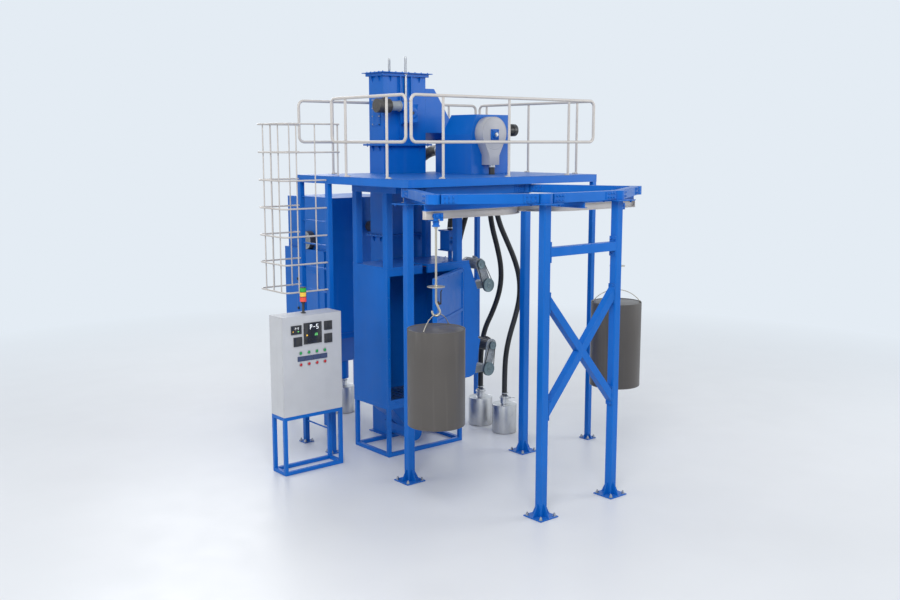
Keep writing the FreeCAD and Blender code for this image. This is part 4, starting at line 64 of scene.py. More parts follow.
class FinishColours(bpy.types.PropertyGroup):
    """Colours of the machine's paints, metals and rubbers."""

    blue: colour_setting("Blue enamel", "0464BE", "Machine, gantry and platform")
    handrail: colour_setting("Handrail grey", "C3BEB9", "Guard rails and ladder cage")
    rail: colour_setting("Rail grey", "BFBBB8", "Running rail")
    panel: colour_setting("Panel grey", "C4C6CA", "Control panel")
    drum: colour_setting("Drum grey", "4C4845", "Hung drums")
    tailings: colour_setting("Housing grey", "ABACB1", "Round tailings housing")
    motor: colour_setting("Motor grey", "45423F", "Motors")
    sheave: colour_setting("Sheave grey", "6F8288", "Belt pulleys")
    liner: colour_setting("Wear plate", "7A4A2C", "Plates on the cabinet's ceiling")
    steel: colour_setting("Bright steel", "B9BBBD", "Bolts, hooks and screws")
    bin: colour_setting("Bin steel", "C9CACB", "Brushed steel bins")
    rubber: colour_setting("Hose rubber", "17181A", "Hoses and belts")
    dust: colour_setting("Dust", "8E939B", "What settles on level faces")


class FastenerSizes(bpy.types.PropertyGroup):
    """Sizes of the bolts that are copied over the machine."""

    head: bpy.props.FloatProperty(
        name="Bolt head", description="Across the corners of a plain bolt's head", default=0.027, unit="LENGTH")
    anchor: bpy.props.FloatProperty(
        name="Anchor nut", description="Across the corners of an anchor nut", default=0.036, unit="LENGTH")
    flange_pitch: bpy.props.FloatProperty(
        name="Flange pitch", description="Distance between the bolts of a flange", default=0.105, unit="LENGTH")


class StageSettings(bpy.types.PropertyGroup):
    """Camera, backdrop and floor."""

    place: bpy.props.FloatVectorProperty(
        name="Camera", description="Where the camera stands", subtype="XYZ", unit="LENGTH",
        default=(-8.400, -10.693, 4.200))
    aim: bpy.props.FloatVectorProperty(
        name="Aim", description="Tilt from straight down and turn of the camera", subtype="EULER",
        default=(math.radians(81.15), 0, math.radians(-39.64)))
    lens: bpy.props.FloatProperty(
        name="Lens", description="Focal length in millimetres on a 36 mm sensor", default=40.59, min=1)
    backdrop: colour_setting("Backdrop", "E4ECF4", "Colour behind the machine")
    floor: colour_setting("Floor", "DADCDF", "Floor under the machine")


# Shader trees

def place_node(tree, kind, inputs=None, **settings):
    """Add a shader node, set its properties, and give its inputs a value or another node's output."""
    made = tree.nodes.new(kind)
    for name, setting in settings.items():
        setattr(made, name, setting)
    for name, source in (inputs or {}).items():
        socket = made.inputs[name]
        if isinstance(source, bpy.types.NodeSocket):
            tree.links.new(source, socket)
        else:
            socket.default_value = source
    return made


def sum_up(tree, operation, first, second, clamp=False):
    made = place_node(tree, "ShaderNodeMath", {0: first, 1: second}, operation=operation, use_clamp=clamp)
    return made.outputs[0]


def spread(tree, source, low, high, to_low=0.0, to_high=1.0):
    """Map a value from one range to another, held at both ends."""
    made = place_node(tree, "ShaderNodeMapRange", {
        "Value": source, "From Min": low, "From Max": high, "To Min": to_low, "To Max": to_high})
    return made.outputs["Result"]


def noise(tree, coordinates, scale, detail=2.0, stretch=None):
    if stretch is not None:
        mapping = place_node(tree, "ShaderNodeMapping", {"Vector": coordinates, "Scale": stretch})
        coordinates = mapping.outputs["Vector"]
    made = place_node(tree, "ShaderNodeTexNoise", {"Vector": coordinates, "Scale": scale, "Detail": detail})
    return made.outputs["Fac"]


def blend_colours(tree, share, first, second):
    made = place_node(tree, "ShaderNodeMix", {0: share, 6: first, 7: second}, data_type="RGBA")
    return made.outputs[2]


def effect(name, inputs, outputs):
    """Start a node group with named sockets, and give its tree, its inputs and its output node."""
    tree = bpy.data.node_groups.new(name, "ShaderNodeTree")
    for label, kind, default in inputs:
        socket = tree.interface.new_socket(name=label, in_out="INPUT", socket_type="NodeSocket" + kind)
        socket.default_value = default
    for label, kind in outputs:
        tree.interface.new_socket(name=label, in_out="OUTPUT", socket_type="NodeSocket" + kind)
    start = tree.nodes.new("NodeGroupInput")
    end = tree.nodes.new("NodeGroupOutput")
    return tree, start.outputs, end


def deliver(tree, end, **results):
    for label, source in results.items():
        tree.links.new(source, end.inputs[label])
    return tree


def edge_effect():
    """Worn and highlit edges: a broken mask along the corners that stands partly for worn paint and partly for a
    painted edge highlight, and a normal that rounds them.
    """
    # Wear sets how strongly the corners take both paint wear and a painted highlight.
    tree, given, end = effect("worn_edges", [("Radius", "Float", 0.005), ("Wear", "Float", 0.5)],
                              [("Mask", "Float"), ("Normal", "Vector")])
    here = place_node(tree, "ShaderNodeTexCoord").outputs["Object"]
    true_normal = place_node(tree, "ShaderNodeNewGeometry").outputs["Normal"]
    round_normal = place_node(tree, "ShaderNodeBevel", {"Radius": given["Radius"]}, samples=3).outputs["Normal"]
    facing = place_node(tree, "ShaderNodeVectorMath", {0: true_normal, 1: round_normal}, operation="DOT_PRODUCT")
    turn = spread(tree, facing.outputs["Value"], 0.995, 0.86)
    patches = spread(tree, noise(tree, here, 9.0, 4.0), 0.42, 0.66)
    mask = sum_up(tree, "MULTIPLY", sum_up(tree, "MULTIPLY", turn, patches), given["Wear"], clamp=True)
    return deliver(tree, end, Mask=mask, Normal=round_normal)


def film_effect():
    """Sprayed enamel: slow change of tone, orange peel, settled dust, faint runs, and lighter paint along the edges as
    wear and painted highlight.
    """
    grey = (0.3, 0.3, 0.3, 1)
    tree, given, end = effect(
        "enamel_film", [("Paint", "Color", grey), ("Dust", "Color", grey), ("Settled", "Float", 0.3),
                        ("Runs", "Float", 0.2), ("Roughness", "Float", 0.4), ("Wear", "Float", 0.0)],
        [("Colour", "Color"), ("Roughness", "Float"), ("Height", "Float")])
    here = place_node(tree, "ShaderNodeTexCoord").outputs["Object"]
    normal = place_node(tree, "ShaderNodeNewGeometry").outputs["Normal"]
    level = place_node(tree, "ShaderNodeSeparateXYZ", {"Vector": normal}).outputs["Z"]
    broad = noise(tree, here, 0.9, 3.0)
    patches = noise(tree, here, 7.0, 5.0)
    runs = noise(tree, here, 1.0, 4.0, (16, 16, 0.8))
    tone = spread(tree, broad, 0.3, 0.7, 0.92, 1.06)
    fine_tone = spread(tree, patches, 0.3, 0.7, 0.98, 1.02)
    tone = sum_up(tree, "MULTIPLY", tone, fine_tone)
    toned = place_node(tree, "ShaderNodeVectorMath", {0: given["Paint"], "Scale": tone}, operation="SCALE")
    lying = sum_up(tree, "MULTIPLY", spread(tree, level, 0.6, 0.97), spread(tree, patches, 0.3, 0.75, 0.25, 1.0))
    lying = sum_up(tree, "MULTIPLY", lying, given["Settled"])
    steep = spread(tree, sum_up(tree, "ABSOLUTE", level, 0.0), 0.5, 0.1)
    running = sum_up(tree, "MULTIPLY", spread(tree, runs, 0.56, 0.74), steep)
    running = sum_up(tree, "MULTIPLY", running, given["Runs"])
    dusty = blend_colours(tree, sum_up(tree, "ADD", lying, running, clamp=True), toned.outputs[0], given["Dust"])
    # Along the edge mask the paint turns lighter: partly worn paint, partly a painted highlight on the edges.
    bright = place_node(tree, "ShaderNodeVectorMath", {0: dusty, 1: (0.12, 0.14, 0.16)}, operation="ADD")
    colour = blend_colours(tree, given["Wear"], dusty, bright.outputs[0])
    gloss = sum_up(tree, "ADD", given["Roughness"], spread(tree, patches, 0.3, 0.7, -0.05, 0.06))
    gloss = sum_up(tree, "ADD", gloss, sum_up(tree, "MULTIPLY", lying, 0.35), clamp=True)
    peel = noise(tree, here, 260.0, 2.0)
    swell = sum_up(tree, "MULTIPLY", broad, 3.0)
    return deliver(tree, end, Colour=colour, Roughness=gloss, Height=sum_up(tree, "ADD", peel, swell))


def grain_effect():
    """Drawn or brushed metal: fine lines along one direction, with a soft cloud of handling marks."""
    tree, given, end = effect(
        "metal_grain", [("Metal", "Color", (0.5, 0.5, 0.5, 1)), ("Lines", "Vector", (60, 60, 1200)),
                        ("Depth", "Float", 0.5), ("Roughness", "Float", 0.3)],
        [("Colour", "Color"), ("Roughness", "Float"), ("Height", "Float")])
    here = place_node(tree, "ShaderNodeTexCoord").outputs["Object"]
    stretched = place_node(tree, "ShaderNodeVectorMath", {0: here, 1: given["Lines"]}, operation="MULTIPLY")
    lines = noise(tree, stretched.outputs[0], 1.0, 3.0)
    cloud = noise(tree, here, 5.0, 4.0)
    tone = sum_up(tree, "ADD", spread(tree, cloud, 0.3, 0.7, -0.1, 0.06), spread(tree, lines, 0.3, 0.7, 0.9, 1.06))
    toned = place_node(tree, "ShaderNodeVectorMath", {0: given["Metal"], "Scale": tone}, operation="SCALE")
    gloss = sum_up(tree, "ADD", given["Roughness"], spread(tree, lines, 0.3, 0.7, -0.06, 0.1))
    gloss = sum_up(tree, "ADD", gloss, spread(tree, cloud, 0.35, 0.75, 0.0, 0.12), clamp=True)
    return deliver(tree, end, Colour=toned.outputs[0], Roughness=gloss,
                   Height=sum_up(tree, "MULTIPLY", lines, given["Depth"]))


def rubber_effect():
    """Rubber: fine moulding texture, with bloom and dust in soft patches."""
    tree, given, end = effect(
        "rubber_skin", [("Rubber", "Color", (0.02, 0.02, 0.02, 1)), ("Dust", "Color", (0.3, 0.3, 0.3, 1)),
                        ("Bloom", "Float", 0.12)], [("Colour", "Color"), ("Roughness", "Float"), ("Height", "Float")])
    here = place_node(tree, "ShaderNodeTexCoord").outputs["Object"]
    patches = noise(tree, here, 6.0, 5.0)
    bloom = sum_up(tree, "MULTIPLY", spread(tree, patches, 0.4, 0.75), given["Bloom"])
    colour = blend_colours(tree, bloom, given["Rubber"], given["Dust"])
    gloss = spread(tree, patches, 0.3, 0.7, 0.42, 0.6)
    return deliver(tree, end, Colour=colour, Roughness=gloss, Height=noise(tree, here, 420.0, 3.0))


def casting_effect():
    """Cast iron: a sandy skin with darker hollows."""
    tree, given, end = effect(
        "cast_skin", [("Iron", "Color", (0.2, 0.2, 0.2, 1)), ("Roughness", "Float", 0.5)],
        [("Colour", "Color"), ("Roughness", "Float"), ("Height", "Float")])
    here = place_node(tree, "ShaderNodeTexCoord").outputs["Object"]
    sand = noise(tree, here, 170.0, 4.0)
    cloud = noise(tree, here, 8.0, 4.0)
    tone = sum_up(tree, "MULTIPLY", spread(tree, sand, 0.3, 0.7, 0.88, 1.08), spread(tree, cloud, 0.3, 0.7, 0.86, 1.1))
    toned = place_node(tree, "ShaderNodeVectorMath", {0: given["Iron"], "Scale": tone}, operation="SCALE")
    gloss = sum_up(tree, "ADD", given["Roughness"], spread(tree, cloud, 0.3, 0.7, -0.08, 0.1), clamp=True)
    return deliver(tree, end, Colour=toned.outputs[0], Roughness=gloss, Height=sand)


EFFECTS = {}
FINISHES = {}


def start_finish(name):
    made = bpy.data.materials.new(name)
    made.use_nodes = True
    made.node_tree.nodes.clear()
    tree = made.node_tree
    surface = place_node(tree, "ShaderNodeBsdfPrincipled")
    place_node(tree, "ShaderNodeOutputMaterial", {"Surface": surface.outputs["BSDF"]})
    FINISHES[name] = made
    return tree, surface


def use_effect(tree, name, **inputs):
    """Place a shared effect in a material, with its own values."""
    made = place_node(tree, "ShaderNodeGroup", node_tree=EFFECTS[name])
    for label, source in inputs.items():
        socket = made.inputs[label]
        if isinstance(source, bpy.types.NodeSocket):
            tree.links.new(source, socket)
        elif isinstance(source, float):
            socket.default_value = source
        else:
            socket.default_value = source if len(source) == len(socket.default_value) else (*source, 1)
    return made.outputs


def feed(tree, surface, outputs, bump=0.1, distance=0.002, normal=None):
    """Lead an effect's colour, roughness and height to the surface."""
    tree.links.new(outputs["Colour"], surface.inputs["Base Color"])
    tree.links.new(outputs["Roughness"], surface.inputs["Roughness"])
    relief = place_node(tree, "ShaderNodeBump", {"Strength": bump, "Distance": distance, "Height": outputs["Height"]})
    if normal is not None:
        tree.links.new(normal, relief.inputs["Normal"])
    tree.links.new(relief.outputs["Normal"], surface.inputs["Normal"])


def painted(name, colour, dust, roughness=0.36, settled=0.3, runs=0.12, wear=0.6, coat=0.2, radius=0.005,
            shine=0.5):
    tree, surface = start_finish(name)
    # The edges lighten with the wear value: worn paint and a painted edge highlight.
    edges = use_effect(tree, "worn_edges", Radius=radius, Wear=wear)
    film = use_effect(tree, "enamel_film", Paint=colour, Dust=dust, Settled=settled, Runs=runs,
                      Roughness=roughness, Wear=edges["Mask"])
    feed(tree, surface, film, 0.06, 0.001, edges["Normal"])
    surface.inputs["Coat Weight"].default_value = coat
    surface.inputs["Coat Roughness"].default_value = 0.12
    surface.inputs["Specular IOR Level"].default_value = shine
    return tree, surface, film


def metallic(name, colour, lines=(60.0, 60.0, 1200.0), roughness=0.3, depth=0.5):
    tree, surface = start_finish(name)
    edges = use_effect(tree, "worn_edges", Radius=0.003, Wear=0.0)
    grain = use_effect(tree, "metal_grain", Metal=colour, Lines=lines, Depth=depth, Roughness=roughness)
    feed(tree, surface, grain, 0.12, 0.001, edges["Normal"])
    surface.inputs["Metallic"].default_value = 1.0
    return tree, surface, grain


def rubbery(name, colour, dust, bloom=0.12):
    tree, surface = start_finish(name)
    feed(tree, surface, use_effect(tree, "rubber_skin", Rubber=colour, Dust=dust, Bloom=bloom), 0.15, 0.001)


def cast(name, colour, roughness=0.5, shine=0.6):
    tree, surface = start_finish(name)
    feed(tree, surface, use_effect(tree, "cast_skin", Iron=colour, Roughness=roughness), 0.2, 0.001)
    surface.inputs["Metallic"].default_value = shine


def banded(name, bands, glow=0.0, roughness=0.18):
    """A lens or lamp finish whose colour changes with height, as (upper limit, colour) from below."""
    tree, surface = start_finish(name)
    here = place_node(tree, "ShaderNodeTexCoord").outputs["Object"]
    height = place_node(tree, "ShaderNodeSeparateXYZ", {"Vector": here}).outputs["Z"]
    colour = (*bands[0][1], 1)
    for (limit, below), (next_limit, above) in zip(bands, bands[1:]):
        over = sum_up(tree, "GREATER_THAN", height, limit)
        colour = blend_colours(tree, over, colour, (*above, 1))
    cloud = noise(tree, here, 60.0, 3.0)
    tone = place_node(tree, "ShaderNodeVectorMath", {0: colour, "Scale": spread(tree, cloud, 0.3, 0.7, 0.9, 1.08)},
                      operation="SCALE")
    tree.links.new(tone.outputs[0], surface.inputs["Base Color"])
    tree.links.new(tone.outputs[0], surface.inputs["Emission Color"])
    surface.inputs["Emission Strength"].default_value = glow
    tree.links.new(spread(tree, cloud, 0.3, 0.7, roughness - 0.04, roughness + 0.08), surface.inputs["Roughness"])
    surface.inputs["Coat Weight"].default_value = 0.5
    surface.inputs["Coat Roughness"].default_value = 0.06


def make_finishes(colours):
    """Build the shared effects and every paint, metal, rubber and lens."""
    EFFECTS.update(worn_edges=edge_effect(), enamel_film=film_effect(), metal_grain=grain_effect(),
                   rubber_skin=rubber_effect(), cast_skin=casting_effect())
    dust = tuple(colours.dust)
    blue = tuple(colours.blue)
    # Each wear value below also sets how much painted highlight lightens the edges.
    painted("blue_enamel", blue, dust, 0.34, settled=0.12, runs=0.03, wear=0.6, coat=0.04, shine=0.25)
    painted("handrail_enamel", tuple(colours.handrail), dust, 0.38, settled=0.2, runs=0.08, wear=0.2, radius=0.002)
    painted("rail_primer", tuple(colours.rail), dust, 0.45, settled=0.3, runs=0.16, wear=0.5)
    painted("panel_coat", tuple(colours.panel), dust, 0.42, settled=0.2, runs=0.05, wear=0.3)
    painted("drum_enamel", tuple(colours.drum), linear("A09C96"), 0.46, settled=0.12, runs=0.06, wear=0.4)
    painted("housing_enamel", tuple(colours.tailings), dust, 0.36, settled=0.2, runs=0.08, wear=0.3)
    painted("motor_enamel", tuple(colours.motor), dust, 0.42, settled=0.3, runs=0.06, wear=0.5, radius=0.002)
    painted("black_enamel", linear("1B1C1F"), dust, 0.4, settled=0.3, runs=0.05, wear=0.4, radius=0.002)
    painted("grey_enamel", linear("8D949A"), dust, 0.4, settled=0.25, runs=0.06, wear=0.4, radius=0.002)
    painted("deck_enamel", blue, dust, 0.44, settled=0.16, runs=0.0, wear=0.6, coat=0.0, shine=0.25)
    painted("label_blue", linear("3C4A6E"), dust, 0.3, settled=0.1, runs=0.0, wear=0.1, radius=0.001)
    painted("liner_plate", tuple(colours.liner), linear("B08A60"), 0.55, settled=0.1, runs=0.3, wear=0.4)
    metallic("bright_steel", tuple(colours.steel), (60.0, 60.0, 60.0), 0.32)
    metallic("bin_steel", tuple(colours.bin), (25.0, 25.0, 900.0), 0.3, 0.7)
    metallic("hook_steel", linear("C4BDAE"), (200.0, 200.0, 40.0), 0.36)
    cast("sheave_iron", tuple(colours.sheave), 0.42, 0.55)
    rubbery("hose_rubber", tuple(colours.rubber), dust, 0.06)
    rubbery("belt_rubber", linear("1E1F20"), dust, 0.2)
    rubbery("seal_rubber", linear("101113"), dust, 0.08)
    grey = linear("9EA2A6")
    banded("lamp_lenses", [(1.46, linear("B8262C")), (1.52, grey), (9, linear("1F9A4C"))], 0.1)
    banded("beacon_lenses", [(2.19, linear("45484C")), (2.2527, linear("E4553F")), (2.315, linear("E6C04A")),
                             (9, linear("2FA53C"))], 0.15)
    tree, surface = start_finish("display_glass")
    feed(tree, surface, use_effect(tree, "rubber_skin", Rubber=linear("0C0E12"), Dust=dust, Bloom=0.03), 0.02)
    surface.inputs["Coat Weight"].default_value = 1.0
    surface.inputs["Coat Roughness"].default_value = 0.04
    for name, code in (("digit_white", "F2F6FA"), ("digit_green", "7DF08A"), ("digit_amber", "F6C33C")):
        tree, surface = start_finish(name)
        here = place_node(tree, "ShaderNodeTexCoord").outputs["Object"]
        shade = spread(tree, noise(tree, here, 300.0), 0.3, 0.7, 0.92, 1.05)
        lit = place_node(tree, "ShaderNodeVectorMath", {0: linear(code), "Scale": shade}, operation="SCALE")
        tree.links.new(lit.outputs[0], surface.inputs["Base Color"])
        tree.links.new(lit.outputs[0], surface.inputs["Emission Color"])
        surface.inputs["Emission Strength"].default_value = 0.7


# Modelling by hand: start a primitive, shape it in edit mode, finish it

def nothing_selected():
    if bpy.context.object and bpy.context.object.mode != "OBJECT":
        bpy.ops.object.mode_set(mode="OBJECT")
    bpy.ops.object.select_all(action="DESELECT")


def start(kind, name, place, stretch=(1, 1, 1), turn=(0, 0, 0), **options):
    """Add a primitive at its place, size and turn, and settle them in its mesh."""
    nothing_selected()
    getattr(bpy.ops.mesh, "primitive_%s_add" % kind)(location=place, rotation=turn, **options)
    made = bpy.context.object
    made.name = name
    made.scale = stretch
    bpy.ops.object.transform_apply(location=True, rotation=True, scale=True)
    return made


def bar(name, low, high):
    """A box between two corners."""
    middle = [(a + b) / 2 for a, b in zip(low, high)]
    return start("cube", name, middle, [b - a for a, b in zip(low, high)], size=1)


TURNS = {"x": (0, math.radians(90), 0), "y": (math.radians(90), 0, 0), "z": (0, 0, 0)}


def round_bar(name, place, radius, length, line="z", sides=32):
    """A cylinder with its middle at a point."""
    return start("cylinder", name, place, turn=TURNS[line], vertices=sides, radius=radius, depth=length)


def pick(made, test, kind="FACE"):
    """Enter edit mode and select what passes a test of its middle and its direction."""
    if made.mode != "EDIT":
        nothing_selected()
        bpy.context.view_layer.objects.active = made
        made.select_set(True)
        bpy.ops.object.mode_set(mode="EDIT")
    bpy.ops.mesh.select_mode(type=kind)
    bpy.ops.mesh.select_all(action="DESELECT")
    mesh = bmesh.from_edit_mesh(made.data)
    if kind == "FACE":
        for face in mesh.faces:
            face.select_set(test(face.calc_center_median(), face.normal))
    elif kind == "EDGE":
        for edge in mesh.edges:
            first, second = (corner.co for corner in edge.verts)
            edge.select_set(test((first + second) / 2, (second - first).normalized()))
    else:
        for corner in mesh.verts:
            corner.select_set(test(corner.co, corner.normal))
    mesh.select_flush_mode()
    bmesh.update_edit_mesh(made.data)


def push(by):
    """Extrude the chosen faces by a vector."""
    bpy.ops.mesh.extrude_region_move(TRANSFORM_OT_translate={"value": by})


def inset(by, depth=0.0):
    bpy.ops.mesh.inset(thickness=by, depth=depth)


def round_edges(made, width, segments=2, angle=30):
    """Bevel every edge that turns by more than an angle."""
    nothing_selected()
    bpy.context.view_layer.objects.active = made
    made.select_set(True)
    edge = made.modifiers.new("rounded", "BEVEL")
    edge.width = width
    edge.segments = segments
    edge.limit_method = "ANGLE"
    edge.angle_limit = math.radians(angle)
    bpy.ops.object.modifier_apply(modifier=edge.name)
    return made


def copy_to(model, places, name):
    """Copy a modelled piece to each place, as one object with a mesh of its own."""
    gathered = bmesh.new()
    for place in places:
        copy = model.data.copy()
        copy.transform(place)
        gathered.from_mesh(copy)
        bpy.data.meshes.remove(copy)
    mesh = bpy.data.meshes.new(name)
    gathered.to_mesh(mesh)
    gathered.free()
    made = bpy.data.objects.new(name, mesh)
    bpy.context.scene.collection.objects.link(made)
    return made


def discard(*pieces):
    nothing_selected()
    for piece in pieces:
        mesh = piece.data
        bpy.data.objects.remove(piece)
        bpy.data.meshes.remove(mesh)


def join(name, pieces):
    nothing_selected()
    for piece in pieces:
        piece.select_set(True)
    bpy.context.view_layer.objects.active = pieces[0]
    bpy.ops.object.join()
    pieces[0].name = name
    pieces[0].data.name = name
    return pieces[0]


def finish(made, finish_name, body=FIXED, smooth=35, replaces=()):
    """Set a piece's faces outward, shade it, give it its finish, and let it ride on its body."""
    nothing_selected()
    bpy.context.view_layer.objects.active = made
    made.select_set(True)
    bpy.ops.object.mode_set(mode="EDIT")
    bpy.ops.mesh.select_all(action="SELECT")
    bpy.ops.mesh.normals_make_consistent(inside=False)
    bpy.ops.object.mode_set(mode="OBJECT")
    bpy.ops.object.shade_smooth_by_angle(angle=math.radians(smooth))
    made.data.materials.clear()
    made.data.materials.append(FINISHES[finish_name])
    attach(made, body)
    if replaces:
        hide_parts(*replaces)
    nothing_selected()
    return made


def at(x, y, z, facing="z", roll=0.0, scale=1.0):
    """Where a copy goes, with the model's +Z turned to face a side."""
    turns = {
        "z": Matrix.Identity(3), "-z": Matrix.Rotation(math.pi, 3, "X"),
        "x": Matrix.Rotation(math.pi / 2, 3, "Y"), "-x": Matrix.Rotation(-math.pi / 2, 3, "Y"),
        "y": Matrix.Rotation(-math.pi / 2, 3, "X"), "-y": Matrix.Rotation(math.pi / 2, 3, "X"),
    }
    turn = turns[facing] if isinstance(facing, str) else facing
    turn = turn @ Matrix.Rotation(roll, 3, "Z") @ Matrix.Scale(scale, 3)
    return Matrix.Translation((x, y, z)) @ turn.to_4x4()


def hex_bolt(name, across, rise, washer=True):
    """A washer and a six-sided head with chamfered corners, standing on z = 0."""
    base = 0.0
    parts = []
    if washer:
        base = 0.0035
        disc = round_bar(name + "_washer", (0, 0, base / 2), across * 0.62, base, sides=16)
        parts.append(disc)
    head = round_bar(name + "_head", (0, 0, base + rise / 2), across / 2, rise, sides=6)
    pick(head, lambda middle, way: way.z > 0.9)
    inset(across * 0.06)
    bpy.ops.transform.translate(value=(0, 0, rise * 0.12))
    bpy.ops.object.mode_set(mode="OBJECT")
    parts.append(head)
    return join(name, parts)


def anchor_nut(name, across):
    """An anchor's washer, nut and the threaded end that stands out of it."""
    model = hex_bolt(name + "_nut", across, across * 0.5)
    stud = round_bar(name + "_stud", (0, 0, across * 0.52), across * 0.27, across * 1.02, sides=12)
    pick(stud, lambda middle, way: way.z > 0.9)
    inset(across * 0.05)
    bpy.ops.transform.translate(value=(0, 0, across * 0.04))
    bpy.ops.object.mode_set(mode="OBJECT")
    return join(name, [model, stud])


def along(first, last, pitch):
    """Evenly spaced places from first to last, at about a pitch."""
    count = max(1, round(abs(last - first) / pitch))
    return [first + (last - first) * step / count for step in range(count + 1)]


class StageOperator(bpy.types.Operator):
    """Set up the camera, the lamps, the pale floor and the backdrop"""

    bl_idname = "blaster.stage"
    bl_label = "Stage"

    def execute(self, context):
        scene = context.scene
        setup = scene.blaster_stage
        lens = bpy.data.cameras.new("view")
        lens.sensor_width = 36
        lens.lens = setup.lens
        lens.clip_end = 200
        camera = bpy.data.objects.new("view", lens)
        camera.location = setup.place
        camera.rotation_euler = setup.aim
        scene.collection.objects.link(camera)
        scene.camera = camera
        scene.view_settings.view_transform = "Standard"
        self.backdrop(scene, setup)
        lamps = {
            "key": ((-7.0, -9.0, 9.5), 7.0, 900, (0, -1.0, 2.2)),
            "side": ((9.0, -7.0, 6.0), 6.0, 320, (0, -0.5, 2.2)),
            "rear": ((2.0, 10.0, 8.0), 7.0, 380, (0, 0, 2.5)),
            "left": ((-10.0, 3.0, 5.0), 6.0, 150, (0, 0, 2.0)),
        }
        for name, (place, size, power, target) in lamps.items():
            light = bpy.data.lights.new(name, "AREA")
            light.shape = "DISK"
            light.size = size
            light.energy = power
            lamp = bpy.data.objects.new(name, light)
            lamp.location = place
            lamp.rotation_euler = (Vector(target) - Vector(place)).to_track_quat("-Z", "Y").to_euler()
            scene.collection.objects.link(lamp)
        nothing_selected()
        bpy.ops.mesh.primitive_plane_add(size=90, location=(0, 0, -0.002))
        floor = context.object
        floor.name = "floor"
        bpy.ops.object.transform_apply(location=True, rotation=True, scale=True)
        floor.data.materials.append(self.floor_finish(setup))
        return {"FINISHED"}

    def backdrop(self, scene, setup):
        """Plain light from all round, and the backdrop's colour where rays see it."""
        world = bpy.data.worlds.new("studio")
        scene.world = world
        world.use_nodes = True
        tree = world.node_tree
        tree.nodes.clear()
        seen = place_node(tree, "ShaderNodeLightPath").outputs
        shown = sum_up(tree, "MAXIMUM", seen["Is Camera Ray"], seen["Is Glossy Ray"])
        shown = sum_up(tree, "MAXIMUM", shown, seen["Is Transmission Ray"])
        colour = blend_colours(tree, shown, (0.87, 0.89, 0.92, 1), (*setup.backdrop, 1))
        power = spread(tree, shown, 0.0, 1.0, 0.66, 1.0)
        sky = place_node(tree, "ShaderNodeBackground", {"Color": colour, "Strength": power})
        place_node(tree, "ShaderNodeOutputWorld", {"Surface": sky.outputs[0]})

    def floor_finish(self, setup):
        """A pale floor that passes into the backdrop away from the machine."""
        tree, surface = start_finish("studio_floor")
        here = place_node(tree, "ShaderNodeTexCoord").outputs["Object"]
        cloud = spread(tree, noise(tree, here, 0.6, 5.0), 0.3, 0.7, 0.98, 1.02)
        tone = place_node(tree, "ShaderNodeVectorMath", {0: tuple(setup.floor), "Scale": cloud}, operation="SCALE")
        tree.links.new(tone.outputs[0], surface.inputs["Base Color"])
        tree.links.new(spread(tree, noise(tree, here, 2.0, 4.0), 0.3, 0.7, 0.34, 0.46), surface.inputs["Roughness"])
        reach = place_node(tree, "ShaderNodeVectorMath", {0: here}, operation="LENGTH").outputs["Value"]
        seen = place_node(tree, "ShaderNodeLightPath").outputs["Is Camera Ray"]
        share = sum_up(tree, "MULTIPLY", spread(tree, reach, 4.5, 13.0), seen)
        far = place_node(tree, "ShaderNodeEmission", {"Color": (*setup.backdrop, 1)})
        mixed = place_node(tree, "ShaderNodeMixShader", {0: share, 1: surface.outputs[0], 2: far.outputs[0]})
        end = next(part for part in tree.nodes if part.bl_idname == "ShaderNodeOutputMaterial")
        tree.links.new(mixed.outputs[0], end.inputs["Surface"])
        return FINISHES["studio_floor"]


HOSES = {
    "valve_hose": [
        (0.905, 0.29, 3.6), (0.905, 0.29, 3.485), (0.864, 0.29, 3.372), (0.741, 0.29, 3.209), (0.7, 0.29, 3.096),
        (0.7, 0.29, 2.98)],
    "wheel_hose": [
        (1.06, 0.3, 3.6), (1.06, 0.3, 3.4), (1.022, 0.31, 3.19), (0.958, 0.327, 2.985), (0.905, 0.339, 2.79),
        (0.88, 0.345, 2.64), (0.88, 0.345, 2.47)],
    "rear_bin_hose": [
        (1.345, 0.19, 3.6), (1.345, 0.19, 3.32), (1.392, 0.182, 3.0), (1.5, 0.178, 2.69), (1.598, 0.195, 2.38),
        (1.622, 0.238, 2.06), (1.57, 0.33, 1.74), (1.48, 0.43, 1.45), (1.444, 0.462, 1.14), (1.44, 0.465, 0.84),
        (1.44, 0.465, 0.545)],
    "front_bin_hose": [
        (1.3, 0.02, 3.6), (1.3, 0.02, 3.34), (1.372, 0.005, 3.06), (1.5, -0.02, 2.8), (1.63, -0.05, 2.53),
        (1.712, -0.075, 2.25), (1.708, -0.086, 1.96), (1.618, -0.088, 1.68), (1.512, -0.084, 1.42),
        (1.446, -0.078, 1.15), (1.43, -0.075, 0.86), (1.43, -0.075, 0.545)],
}


